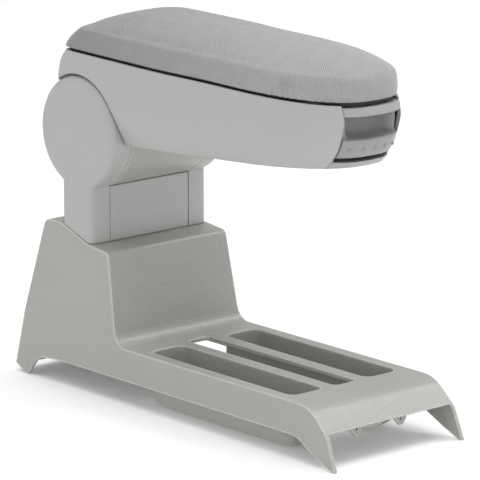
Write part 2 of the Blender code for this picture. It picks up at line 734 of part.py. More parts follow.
def hinge_drum(paint):
    """The moulded drum that turns with the arm, with end webs, a hub and stop slots."""
    half = DRUM_HALF_WIDTH
    drum = hinge_rod("hinge_drum", DRUM_RADIUS, (-half, half), DRUM_STEPS)
    cut(drum, hinge_rod("drum_hollow", DRUM_RADIUS - DRUM_WALL, (-half - 1, half + 1), DRUM_STEPS))
    web_radius = DRUM_RADIUS - DRUM_WALL / 2
    web_y = (half - WEB_INSET - WEB_THICK, half - WEB_INSET)
    web = hinge_rod("web", web_radius, (-web_y[1], -web_y[0]), DRUM_STEPS)
    join(web, hinge_rod("web_left", web_radius, web_y, DRUM_STEPS))
    join(web, hinge_rod("hub", HUB_RADIUS, (-half, half), SHAFT_STEPS))
    cut(web, hinge_rod("hub_bore", SHAFT_RADIUS + BORE_GAP, (-half - 1, half + 1), SHAFT_STEPS))
    spread = math.degrees((STOP_PIN_RADIUS + 1.0) / STOP_PIN_ORBIT)
    first = math.radians(STOP_PIN_ANGLE - FOLD_ANGLE - spread)
    last = math.radians(STOP_PIN_ANGLE + spread)
    steps = 14
    arc = [first + (last - first) * step / steps for step in range(steps + 1)]
    reach = STOP_PIN_RADIUS + 0.8
    ring = [(HINGE_X + (STOP_PIN_ORBIT + reach) * math.cos(a),
             HINGE_Z + (STOP_PIN_ORBIT + reach) * math.sin(a)) for a in arc]
    ring += [(HINGE_X + (STOP_PIN_ORBIT - reach) * math.cos(a),
              HINGE_Z + (STOP_PIN_ORBIT - reach) * math.sin(a)) for a in reversed(arc)]
    cut(web, prism_y("stop_slot", ring, -half - 1, half + 1))
    join(drum, web)
    for y in SADDLE_BOLT_Y:
        cut(drum, rod_z("bolt_hole", (HINGE_X, y), SADDLE_BOLT_RADIUS + BORE_GAP,
                        (HINGE_Z + HUB_RADIUS + 6, HINGE_Z + DRUM_RADIUS + 2)))
    return finish(drum, paint)


def bottom_z(x):
    """The arm's underside rises towards its front."""
    along = x - HINGE_X
    lift = max(0.0, x - 20.0)
    return ARM_BOTTOM_Z - 2.0 + 0.052 * along + 0.00016 * lift * lift


def smooth_share(value, start, stop):
    """A smooth step from 0 at start to 1 at stop."""
    share = min(max((value - start) / (stop - start), 0.0), 1.0)
    return share * share * (3 - 2 * share)


def rim_z(x):
    """The height of the tub's rim, which falls a little towards the front."""
    return ARM_RIM_Z - ARM_RIM_FALL * (x - HINGE_X)


def plan_ring(half, rear, front, corner):
    """The arm's plan outline, from its rear middle round the right side and back."""
    side = []
    for step in range(4):
        angle = math.pi / 2 * step / 3
        side.append((rear + corner * (1 - math.cos(angle)), half - corner * (1 - math.sin(angle))))
    for step in range(4):
        x = ARM_TAPER_START_X + (ARM_NOSE_START_X - ARM_TAPER_START_X) * step / 4
        side.append((x, half - ARM_TAPER * smooth_share(x, ARM_TAPER_START_X, ARM_NOSE_START_X)))
    along_power, across_power = ARM_NOSE_POWERS
    nose_half = half - ARM_TAPER
    for step in range(NOSE_STEPS + 1):
        angle = math.pi / 2 * step / NOSE_STEPS
        side.append((ARM_NOSE_START_X + (front - ARM_NOSE_START_X) * math.sin(angle) ** (2 / along_power),
                     nose_half * math.cos(angle) ** (2 / across_power)))
    return [(x, -y) for x, y in side] + [(x, y) for x, y in reversed(side[:-1])]


def belly_inset(level):
    """How far the tub pulls in towards its underside."""
    share = (level - ARM_BELLY_START) / (1.0 - ARM_BELLY_START)
    return ARM_BELLY * max(0.0, share) ** ARM_BELLY_POWER


def nose_bulge(level):
    """How far the arm's nose stands forward of its rim."""
    return ARM_NOSE_BULGE * math.sin(math.pi * min(level / 0.5, 1.0))


def arm_ring(level, inset, drop=0.0):
    """One ring round the arm at a level from 0, the rim, to 1, the underside.

    inset moves the ring inwards all round, and drop raises its floor.
    """
    half = ARM_HALF_WIDTH - belly_inset(level) - inset
    front = ARM_FRONT_X + nose_bulge(level) - belly_inset(level) - inset
    rear_share = max(0.0, 1.0 - level * (ARM_RIM_Z - ARM_BOTTOM_Z) / ARM_REAR_ROUND_DEPTH)
    rear = ARM_REAR_X + ARM_REAR_ROUND * rear_share ** 2.6 + inset
    ring = plan_ring(half, rear, front, ARM_REAR_CORNER)
    return [(x, y, rim_z(x) + (bottom_z(x) + drop - rim_z(x)) * level) for x, y in ring]


ARM_LEVELS = (0.0, 0.07, 0.145, 0.27, 0.42, 0.56, 0.68, 0.79, 0.88, 0.95, 1.0)


def arm_block(name, inset=0.0, drop=0.0, rise=0.0):
    """The arm's whole outer form, or a smaller copy of it."""
    rings = [arm_ring(level, inset, drop) for level in ARM_LEVELS]
    if rise:
        rings.insert(0, [(x, y, z + rise) for x, y, z in rings[0]])
    count = len(rings[0])
    points = [point for ring in rings for point in ring]
    faces = []
    for level in range(len(rings) - 1):
        low = level * count
        for index in range(count):
            after = (index + 1) % count
            faces.append((low + index, low + after, low + count + after, low + count + index))
    half = count // 2
    for start in (0, len(points) - count):
        for index in range(half):
            far, near = count - 1 - index, index
            if far - near > 1:
                quad = (start + near, start + near + 1, start + far - 1, start + far)
                faces.append(tuple(dict.fromkeys(quad)))
    return from_faces(name, points, faces)


def arm_shell(paint):
    """The arm's moulded tub, cut round the hinge, with ears for the lid's pin."""
    shell = arm_block("arm_shell")
    fixed_radius = DRUM_RADIUS + RUNNING_GAP
    saddle_radius = SADDLE_OUTER
    cut(shell, hinge_rod("saddle", fixed_radius, ACROSS_ARM, DRUM_STEPS))
    cavity = arm_block("cavity", ARM_WALL, ARM_WALL, CUT_OVER)
    cut(cavity, hinge_rod("saddle_wall", saddle_radius, ACROSS_ARM, DRUM_STEPS))
    cut(shell, cavity)
    pad = sector_pad("saddle_pad")
    join(shell, pad)
    for y in SADDLE_BOLT_Y:
        cut(shell, rod_z("bolt_hole", (HINGE_X, y), SADDLE_BOLT_RADIUS + BORE_GAP,
                         (HINGE_Z + DRUM_RADIUS - 1, HINGE_Z + saddle_radius + 2)))
    ear_top = LID_HINGE_Z + LID_PIN_RADIUS + 1.6
    for side in (-1, 1):
        edge = sorted((side * (EAR_Y - EAR_WIDTH / 2), side * (EAR_Y + EAR_WIDTH / 2)))
        join(shell, box("ear", (LID_HINGE_X - 4, LID_HINGE_X + 4), edge,
                        (HINGE_Z + fixed_radius - 2.0, ear_top)))
        notch_y = sorted((side * (KNUCKLE_Y - KNUCKLE_WIDTH / 2 - 0.8),
                          side * (KNUCKLE_Y + KNUCKLE_WIDTH / 2 + 0.8)))
        cut(shell, box("notch", (ARM_REAR_X - 2, LID_HINGE_X + 6), notch_y,
                       (LID_HINGE_Z + 0.5, ARM_RIM_Z + 2)))
        cut(shell, box("knuckle_bay", (LID_HINGE_X - KNUCKLE_RADIUS - 0.8, LID_HINGE_X + 6), notch_y,
                       (LID_HINGE_Z - KNUCKLE_RADIUS - 1, ARM_RIM_Z + 2)))
    pin_hole = LID_PIN_RADIUS + BORE_GAP
    cut(shell, rod_y("pin_hole", (LID_HINGE_X, LID_HINGE_Z), pin_hole,
                     (-EAR_Y - EAR_WIDTH, EAR_Y + EAR_WIDTH)))
    mouth = box("mouth", (BEZEL_REAR_X, ARM_FRONT_X + 20), (-BEZEL_HALF_WIDTH, BEZEL_HALF_WIDTH),
                (ARM_BOTTOM_Z, ARM_RIM_Z + 5))
    cut(shell, mouth)
    for side in (-1, 1):
        screw_x, screw_y = bezel_screw_place(side)
        cut(shell, rod_z("screw_hole", (screw_x, screw_y), CHEEK_SCREW_RADIUS + BORE_GAP,
                         (bottom_z(screw_x) + BLIND_FLOOR, CHIN_TOP_Z)))
    return finish(shell, paint)


def sector_pad(name):
    """The thickening of the saddle that meets the drum between the cheeks."""
    outer = DRUM_RADIUS + RUNNING_GAP + 1.0
    inner = DRUM_RADIUS + SEAT_GAP
    first, last = math.radians(2), math.radians(112)
    steps = 16
    arc = [first + (last - first) * step / steps for step in range(steps + 1)]
    ring = [(HINGE_X + outer * math.cos(a), HINGE_Z + outer * math.sin(a)) for a in arc]
    ring += [(HINGE_X + inner * math.cos(a), HINGE_Z + inner * math.sin(a)) for a in reversed(arc)]
    return prism_y(name, ring, -DRUM_HALF_WIDTH + 1, DRUM_HALF_WIDTH - 1)


def bezel_screw_place(side):
    """The (x, y) of a screw that holds the bezel's tongue to the shell's floor."""
    return (BEZEL_REAR_X - TONGUE_LENGTH / 2, side * BEZEL_SCREW_Y)


def saddle_bolt(name, y, paint):
    """A bolt down through the saddle into the drum."""
    top = HINGE_Z + DRUM_RADIUS + RUNNING_GAP + ARM_WALL + SEAT_GAP
    bolt = rod_z(name, (HINGE_X, y), 2 * SADDLE_BOLT_RADIUS, (top, top + 2.5), 6)
    join(bolt, rod_z("shank", (HINGE_X, y), SADDLE_BOLT_RADIUS,
                     (HINGE_Z + DRUM_RADIUS - DRUM_WALL - 6, top + 0.5)))
    return finish(bolt, paint)


def bin_liner(paint):
    """The storage bin inside the arm."""
    def bin_block(name, shrink, over):
        block = arm_block(name, ARM_WALL + SEAT_GAP + shrink, ARM_WALL + SEAT_GAP + shrink, over)
        rear_top = (LINER_REAR_TOP_X + shrink, rim_z(LINER_REAR_TOP_X) - LINER_RIM_DROP + over)
        front_x = LINER_FRONT_X - shrink
        span = [(LINER_REAR_BOTTOM_X + shrink, ARM_BOTTOM_Z - 5), rear_top,
                (front_x, rim_z(LINER_FRONT_X) - LINER_RIM_DROP + over), (front_x, ARM_BOTTOM_Z - 5)]
        keep_inside(block, prism_y("bin_span", span, *ACROSS_ARM))
        clear_radius = SADDLE_OUTER + SEAT_GAP + shrink
        return cut(block, hinge_rod("saddle_clearance", clear_radius, ACROSS_ARM, DRUM_STEPS))
    liner = bin_block("bin_liner", 0.0, 0.0)
    cut(liner, bin_block("bin_hollow", LINER_WALL, CUT_OVER))
    return finish(liner, paint)


def front_bezel(paint):
    """The front trim: a bar over the release flap, thin pillars, a chin and a tongue."""
    half = BEZEL_HALF_WIDTH - SEAT_GAP
    bezel = arm_block("front_bezel")
    keep_inside(bezel, box("bezel_span", (BEZEL_REAR_X + SEAT_GAP, ARM_FRONT_X + 20), (-half, half),
                           (ARM_BOTTOM_Z, BAR_TOP_Z)))
    inside = arm_block("bezel_inside", BAR_DEPTH, ARM_WALL)
    keep_inside(inside, box("inside_span", (BEZEL_REAR_X - 10, ARM_FRONT_X + 20),
                            (-half + PILLAR_WIDTH, half - PILLAR_WIDTH), (ARM_BOTTOM_Z, BAR_TOP_Z + 5)))
    cut(bezel, inside)
    wide, narrow = half + 1, half - PILLAR_WIDTH
    window = [(PILLAR_FRONT_X, -wide), (ARM_FRONT_X + 20, -wide), (ARM_FRONT_X + 20, wide),
              (PILLAR_FRONT_X, wide), (PILLAR_FRONT_X, narrow), (BEZEL_REAR_X - 1, narrow),
              (BEZEL_REAR_X - 1, -narrow), (PILLAR_FRONT_X, -narrow)]
    cut(bezel, loft("window", [[(x, y, z) for x, y in window] for z in (CHIN_TOP_Z, BAR_BOTTOM_Z)]))
    floor = tongue_bottom_z()
    tongue = [(BEZEL_REAR_X - TONGUE_LENGTH, floor), (BEZEL_REAR_X + 4, bottom_z(BEZEL_REAR_X) + 2.9),
              (BEZEL_REAR_X + 4, floor + TONGUE_THICK), (BEZEL_REAR_X - TONGUE_LENGTH, floor + TONGUE_THICK)]
    join(bezel, prism_y("tongue", tongue, -half + 5, half - 5))
    for side in (-1, 1):
        screw_x, screw_y = bezel_screw_place(side)
        cut(bezel, rod_z("screw_hole", (screw_x, screw_y), CHEEK_SCREW_RADIUS + BORE_GAP,
                         (floor - 3, floor + 6)))
    cut(bezel, rod_y("pin_hole", (LATCH_PIN_X, LATCH_PIN_Z), LATCH_PIN_RADIUS + BORE_GAP,
                     (-half - 1, half + 1)))
    return finish(bezel, paint)


def tongue_bottom_z():
    """The height of the underside of the bezel's tongue at its rear end."""
    return bottom_z(BEZEL_REAR_X - TONGUE_LENGTH) + ARM_WALL + SEAT_GAP + 0.5


def bezel_screw(name, side, paint):
    """A pan-head screw down through the bezel's tongue into the shell's floor."""
    x, y = bezel_screw_place(side)
    seat = tongue_bottom_z() + TONGUE_THICK + SEAT_GAP
    screw = rod_z(name, (x, y), 2 * CHEEK_SCREW_RADIUS, (seat, seat + 1.8))
    join(screw, rod_z("shank", (x, y), CHEEK_SCREW_RADIUS,
                      (bottom_z(x) + BLIND_FLOOR + SEAT_GAP, seat + 0.5)))
    return finish(screw, paint)


def latch_flap(paint):
    """The release flap: a dotted panel, a scooped finger recess and a hook."""
    pillar_inner = BEZEL_HALF_WIDTH - SEAT_GAP - PILLAR_WIDTH
    inner = pillar_inner - FLAP_SIDE_GAP
    outer = BEZEL_HALF_WIDTH - FLAP_SIDE_GAP
    flap = arm_block("latch_flap", 0.3)
    span = box("flap_front", (PILLAR_FRONT_X + FLAP_SIDE_GAP, ARM_FRONT_X + 20), (-outer, outer),
               (FLAP_BOTTOM_Z, FLAP_TOP_Z))
    join(span, box("flap_rear", (RECESS_REAR_X - FLAP_WALL, PILLAR_FRONT_X + 4), (-inner, inner),
                   (FLAP_BOTTOM_Z, FLAP_TOP_Z)))
    keep_inside(flap, span)
    rear_half = outer - RECESS_TAPER
    front_half = outer + RECESS_SPREAD
    recess_front = [(-front_half, FLAP_RIDGE_Z), (front_half, FLAP_RIDGE_Z),
                    (front_half, FLAP_TOP_Z + 6), (-front_half, FLAP_TOP_Z + 6)]
    recess_rear = [(-rear_half, FLAP_RIDGE_Z + 2), (rear_half, FLAP_RIDGE_Z + 2),
                   (rear_half, FLAP_TOP_Z + 6), (-rear_half, FLAP_TOP_Z + 6)]
    mouth_x = ARM_FRONT_X + 8
    cut(flap, loft("recess", [[(mouth_x, y, z) for y, z in recess_front],
                              [(RECESS_REAR_X, y, z) for y, z in recess_rear]]))
    hollow = arm_block("flap_hollow", FLAP_WALL + 0.3)
    keep_inside(hollow, box("hollow_span", (RECESS_REAR_X - FLAP_WALL - 1, ARM_FRONT_X),
                            (-inner + FLAP_WALL, inner - FLAP_WALL),
                            (FLAP_BOTTOM_Z - 5, FLAP_RIDGE_Z - FLAP_WALL)))
    cut(flap, hollow)
    join(flap, rod_y("boss", (LATCH_PIN_X, LATCH_PIN_Z), LATCH_PIN_RADIUS + 2.2, (-inner, inner)))
    cut(flap, rod_y("pin_bore", (LATCH_PIN_X, LATCH_PIN_Z), LATCH_PIN_RADIUS + BORE_GAP,
                    (-outer - 1, outer + 1)))
    hook_x = RECESS_REAR_X - FLAP_WALL
    hook = [(hook_x, FLAP_TOP_Z - 3), (hook_x + HOOK_THICK, FLAP_TOP_Z - 3),
            (hook_x + HOOK_THICK, HOOK_TOP_Z), (hook_x - 1.5, HOOK_TOP_Z - 1),
            (hook_x - 1.5, HOOK_TOP_Z - 3), (hook_x, HOOK_TOP_Z - 3)]
    join(flap, prism_y("hook", hook, -HOOK_HALF_WIDTH, HOOK_HALF_WIDTH))
    for index in range(DOT_COUNT):
        y = (index - (DOT_COUNT - 1) / 2) * DOT_PITCH
        join(flap, flap_dot(y))
    return finish(flap, paint)


def front_surface_x(y, z):
    """Where the arm's front face lies at (y, z)."""
    level = (rim_z(ARM_FRONT_X) - z) / (rim_z(ARM_FRONT_X) - bottom_z(ARM_FRONT_X))
    half = ARM_HALF_WIDTH - ARM_TAPER - belly_inset(level)
    front = ARM_FRONT_X + nose_bulge(level) - belly_inset(level)
    along_power, across_power = ARM_NOSE_POWERS
    share = max(0.0, 1.0 - (abs(y) / half) ** across_power)
    return ARM_NOSE_START_X + (front - ARM_NOSE_START_X) * share ** (1 / along_power)


def flap_dot(y):
    """One raised dot on the flap's lower panel."""
    rings = []
    centre_x = front_surface_x(y, DOT_Z) - 0.6
    for reach, share in ((-1.5, 1.0), (0.0, 1.0), (0.6, 0.92), (1.1, 0.7), (1.45, 0.35)):
        rings.append([(centre_x + reach, y + py, DOT_Z + pz)
                      for py, pz in circle((0, 0), DOT_RADIUS * share, 12)])
    return loft("dot", rings)


def latch_pin(paint):
    """The steel pin that the flap turns on."""
    half = BEZEL_HALF_WIDTH - SEAT_GAP - 0.1
    return finish(rod_y("latch_pin", (LATCH_PIN_X, LATCH_PIN_Z), LATCH_PIN_RADIUS, (-half, half)), paint)


def lid_ring(lift, inset, rear_inset=0.0, tilt=0.0):
    """A ring of the lid's plan outline, at a lift above the tub's rim; tilt raises its front."""
    half = ARM_HALF_WIDTH - inset
    front = ARM_FRONT_X - LID_FRONT_INSET - inset * LID_FRONT_SHARE
    rear = LID_REAR_X + inset + rear_inset
    ring = plan_ring(half, rear, front, min(LID_REAR_CORNER, half))
    return [(x, y, rim_z(x) + lift + tilt * (x - HINGE_X)) for x, y in ring]


def lid_plate(paint):
    """The lid's moulded base plate, with hinge arms, a front lip and a striker."""
    low = rim_z(LID_HINGE_X) + LID_GAP
    plate = loft("lid_plate", [lid_ring(LID_GAP, LID_PLATE_INSET),
                               lid_ring(LID_GAP + LID_PLATE_THICK, LID_PLATE_INSET)])
    for side in (-1, 1):
        edge = sorted((side * (KNUCKLE_Y - KNUCKLE_WIDTH / 2), side * (KNUCKLE_Y + KNUCKLE_WIDTH / 2)))
        arm = [(LID_HINGE_X - 1.0, LID_HINGE_Z + 2), (LID_HINGE_X + 2.8, LID_HINGE_Z),
               (LID_HINGE_X + 9, low + 1), (LID_HINGE_X + 2, low + 1)]
        join(plate, prism_y("hinge_arm", arm, *edge))
        join(plate, rod_y("knuckle", (LID_HINGE_X, LID_HINGE_Z), KNUCKLE_RADIUS, edge))
    bore_end = LID_PIN_HALF_LENGTH + CUT_OVER
    cut(plate, rod_y("pin_bore", (LID_HINGE_X, LID_HINGE_Z), LID_PIN_RADIUS + BORE_GAP,
                     (-bore_end, bore_end)))
    lip_drop = BAR_TOP_Z + 0.8 - rim_z(ARM_FRONT_X)
    lip_inset = LID_PLATE_INSET + 0.3
    front_lip = loft("front_lip", [lid_ring(lip_drop, lip_inset), lid_ring(LID_GAP + 1, lip_inset)])
    lip_half = BEZEL_HALF_WIDTH - 1.3
    keep_inside(front_lip, box("lip_span", (ARM_FRONT_X - 25, ARM_FRONT_X + 10), (-lip_half, lip_half),
                               (ARM_BOTTOM_Z, low + 3)))
    cut(front_lip, loft("lip_inside", [lid_ring(lip_drop - 2, lip_inset + LIP_THICK),
                                       lid_ring(LID_GAP + 2, lip_inset + LIP_THICK)]))
    join(plate, front_lip)
    hook_x = RECESS_REAR_X - FLAP_WALL - 1.5
    root = rim_z(hook_x) + LID_GAP + 0.5
    striker = [(hook_x - 0.4, HOOK_TOP_Z - 4.5), (hook_x - 0.4, root), (hook_x - 4, root),
               (hook_x - 4, HOOK_TOP_Z - 4.5)]
    join(plate, prism_y("striker", striker, -HOOK_HALF_WIDTH - 2, HOOK_HALF_WIDTH + 2))
    for x, y in lid_screw_places():
        cut(plate, rod_z("screw_hole", (x, y), LID_SCREW_RADIUS + BORE_GAP, (rim_z(x), rim_z(x) + 5)))
    return finish(plate, paint)


def lid_screw_places():
    """The (x, y) of the four screws that hold the cushion's board to the plate."""
    return [(x, side * LID_SCREW_Y) for x in LID_SCREW_X for side in (-1, 1)]


def board_lifts():
    """The lifts of the board's lower and upper faces above the rim."""
    low = LID_GAP + LID_PLATE_THICK + SEAT_GAP
    return low, low + LID_BOARD_THICK


def lid_board(paint):
    """The stiff board inside the cushion."""
    low, high = board_lifts()
    board = loft("lid_board", [lid_ring(low, LID_BOARD_INSET), lid_ring(high, LID_BOARD_INSET)])
    for x, y in lid_screw_places():
        cut(board, rod_z("screw_hole", (x, y), LID_SCREW_RADIUS + BORE_GAP,
                         (rim_z(x), rim_z(x) + high + 1)))
    return finish(board, paint)


def lid_screw(name, x, y, paint):
    """A screw up through the plate into the board."""
    low = rim_z(x) + LID_GAP - SEAT_GAP
    screw = rod_z(name, (x, y), 2 * LID_SCREW_RADIUS, (low - 1.8, low))
    join(screw, rod_z("shank", (x, y), LID_SCREW_RADIUS, (low - 0.4, rim_z(x) + board_lifts()[1])))
    return finish(screw, paint)


def lid_cushion(paint):
    """The crowned foam pad with its cloth cover, hollowed underneath for the board."""
    rings = [lid_ring(CUSHION_LIFT + CUSHION_RISE * share, inset, rear, CUSHION_TILT * share)
             for share, inset, rear in CUSHION_PROFILE]
    cushion = loft("lid_cushion", rings)
    under = CUSHION_LIFT - 2
    top = board_lifts()[1] + SEAT_GAP
    inset = LID_BOARD_INSET - SEAT_GAP
    cut(cushion, loft("board_pocket", [lid_ring(under, inset), lid_ring(top, inset)]))
    plate_inset = LID_PLATE_INSET - SEAT_GAP
    plate_top = LID_GAP + LID_PLATE_THICK + SEAT_GAP
    cut(cushion, loft("plate_pocket", [lid_ring(under, plate_inset), lid_ring(plate_top, plate_inset)]))
    return finish(cushion, paint, 60.0)


def lid_pin(paint):
    """The steel pin of the lid's hinge."""
    half = LID_PIN_HALF_LENGTH
    return finish(rod_y("lid_hinge_pin", (LID_HINGE_X, LID_HINGE_Z), LID_PIN_RADIUS, (-half, half)), paint)


def pivot(name, place):
    """An empty on a joint's axis."""
    empty = bpy.data.objects.new(name, None)
    empty.location = [value * MM for value in place]
    bpy.context.scene.collection.objects.link(empty)
    return empty


def hang_on(parent, children):
    """Parent objects to an empty without moving them."""
    bpy.context.view_layer.update()
    for child in children:
        child.parent = parent
        child.matrix_parent_inverse = parent.matrix_world.inverted()


def build():
    """Make every piece and parent the moving ones to their axes."""
    for old in list(bpy.data.objects):
        bpy.data.objects.remove(old)

    moulded = material("moulded_grey_plastic", (0.37, 0.38, 0.36), 0.5)
    satin = material("satin_grey_plastic", (0.43, 0.44, 0.42), 0.4)
    dark = material("dark_plastic", (0.03, 0.03, 0.03), 0.6)
    steel = material("zinc_plated_steel", (0.55, 0.55, 0.53), 0.35, 1.0)
    nylon = material("nylon", (0.75, 0.74, 0.70), 0.5)
    cloth = material("woven_cloth", (0.36, 0.36, 0.36), 0.9)
    board = material("pressed_board", (0.30, 0.20, 0.12), 0.8)

    console_base(moulded)
    support_frame(steel)
    for number, (x, y) in enumerate(frame_bolt_places(), 1):
        frame_bolt(f"frame_bolt_{number}", x, y, steel)
    for side, word in ((-1, "right"), (1, "left")):
        cheek(side, satin)
        shaft_bush(f"shaft_bush_{word}", side, nylon)
        hex_nut(f"shaft_nut_{word}", side, steel)
        friction_washer(f"friction_washer_{word}", side, steel)
        stop_pin(f"fold_stop_pin_{word}", side, steel)
    for number, (side, z) in enumerate(cheek_screw_places(), 1):
        cheek_screw(f"cheek_screw_{number}", side, z, steel)
    column_panel("column_front_panel", COLUMN_FRONT_X, -1, satin)
    column_panel("column_rear_panel", COLUMN_REAR_X, 1, satin)
    shaft_span = (-SHAFT_HALF_LENGTH, SHAFT_HALF_LENGTH)
    finish(hinge_rod("hinge_shaft", SHAFT_RADIUS, shaft_span, SHAFT_STEPS), steel)

    arm = [hinge_drum(moulded), arm_shell(satin), bin_liner(moulded), front_bezel(satin)]
    for number, y in enumerate(SADDLE_BOLT_Y, 1):
        arm.append(saddle_bolt(f"saddle_bolt_{number}", y, steel))
    for side, word in ((-1, "right"), (1, "left")):
        arm.append(bezel_screw(f"bezel_screw_{word}", side, steel))
    arm += [latch_pin(steel), lid_pin(steel)]
    hang_on(pivot("arm_pivot", (HINGE_X, 0, HINGE_Z)), arm)

    hang_on(pivot("latch_pivot", (LATCH_PIN_X, 0, LATCH_PIN_Z)), [latch_flap(satin)])

    lid = [lid_plate(dark), lid_board(board), lid_cushion(cloth)]
    for number, (x, y) in enumerate(lid_screw_places(), 1):
        lid.append(lid_screw(f"lid_screw_{number}", x, y, steel))
    hang_on(pivot("lid_pivot", (LID_HINGE_X, 0, LID_HINGE_Z)), lid)


build()
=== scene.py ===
"""The looks of a car armrest: its finishes, its dressed CAD pieces and its soft, finely rounded pieces.

Lengths are in millimetres unless a comment says otherwise. X runs towards the arm's front, Z is up.
"""
import logging
import math
from dataclasses import dataclass, field
from enum import Enum

import bmesh
import bpy
import numpy as np
from mathutils import Matrix, Vector
from mathutils.bvhtree import BVHTree


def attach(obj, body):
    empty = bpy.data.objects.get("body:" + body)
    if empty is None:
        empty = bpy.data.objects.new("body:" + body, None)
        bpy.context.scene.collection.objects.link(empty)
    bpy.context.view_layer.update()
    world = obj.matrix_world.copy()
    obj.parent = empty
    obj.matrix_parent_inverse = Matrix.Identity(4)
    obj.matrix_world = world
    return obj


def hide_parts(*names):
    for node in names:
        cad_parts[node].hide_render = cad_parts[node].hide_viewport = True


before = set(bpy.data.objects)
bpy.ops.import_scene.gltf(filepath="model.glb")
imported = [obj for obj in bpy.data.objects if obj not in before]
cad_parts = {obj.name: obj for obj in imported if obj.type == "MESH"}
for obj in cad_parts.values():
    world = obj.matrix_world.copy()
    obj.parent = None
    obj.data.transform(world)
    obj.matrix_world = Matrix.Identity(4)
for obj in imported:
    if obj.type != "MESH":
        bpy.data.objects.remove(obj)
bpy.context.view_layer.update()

MM = 0.001
BEVEL_SAMPLES = 6

log = logging.getLogger("armrest")


class Slot(Enum):
    """The record's material slots."""

    MOULDED = "moulded_grey_plastic"
    SATIN = "satin_grey_plastic"
    DARK = "dark_plastic"
    STEEL = "zinc_plated_steel"
    NYLON = "nylon"
    CLOTH = "woven_cloth"
    BOARD = "pressed_board"


class OwnFinish(Enum):
    """The CAD nodes whose grey differs from the rest of their slot."""

    BEZEL = "front_bezel"
    FLAP = "latch_flap"


class Body(Enum):
    """The moving bodies that the added pieces ride on."""

    LATCH = "latch"
    LID = "lid"


def linear_colour(code: str) -> tuple[float, float, float, float]:
    """Turn an sRGB hex colour into linear red, green, blue and alpha.

    Args:
        code: six hex digits.

    Returns:
        The four linear values.
    """
    shades = [int(code[place:place + 2], 16) / 255 for place in (0, 2, 4)]
    linear = [s / 12.92 if s <= 0.04045 else ((s + 0.055) / 1.055) ** 2.4 for s in shades]
    return (*linear, 1.0)


def add_node(tree: bpy.types.NodeTree, kind: str, settings: dict | None = None,
             links: dict | None = None) -> bpy.types.Node:
    """Add one node with its settings and links.

    Args:
        tree: the material's or the world's nodes.
        kind: Blender's name for the node's type.
        settings: values by attribute name, input name or input number.
        links: output sockets by the input they feed.

    Returns:
        The new node.
    """
    node = tree.nodes.new(kind)
    for name, value in (settings or {}).items():
        if isinstance(name, str) and hasattr(node, name):
            setattr(node, name, value)
        else:
            node.inputs[name].default_value = value
    for name, source in (links or {}).items():
        tree.links.new(source, node.inputs[name])
    return node


def new_material(name: str, **sockets) -> tuple[bpy.types.Material, bpy.types.NodeTree, bpy.types.Node]:
    """Start a material from its shader.

    Args:
        name: the material's name.
        **sockets: the shader's constant values, with spaces as underscores.

    Returns:
        The material, its nodes and its shader.
    """
    material = bpy.data.materials.new(name)
    material.use_nodes = True
    tree = material.node_tree
    shader = tree.nodes["Principled BSDF"]
    for socket, value in sockets.items():
        shader.inputs[socket.replace("_", " ")].default_value = value
    return material, tree, shader


def pattern_scale(size: float) -> float:
    """Turn a pattern's size in millimetres into a texture's scale."""
    return 1 / (size * MM)


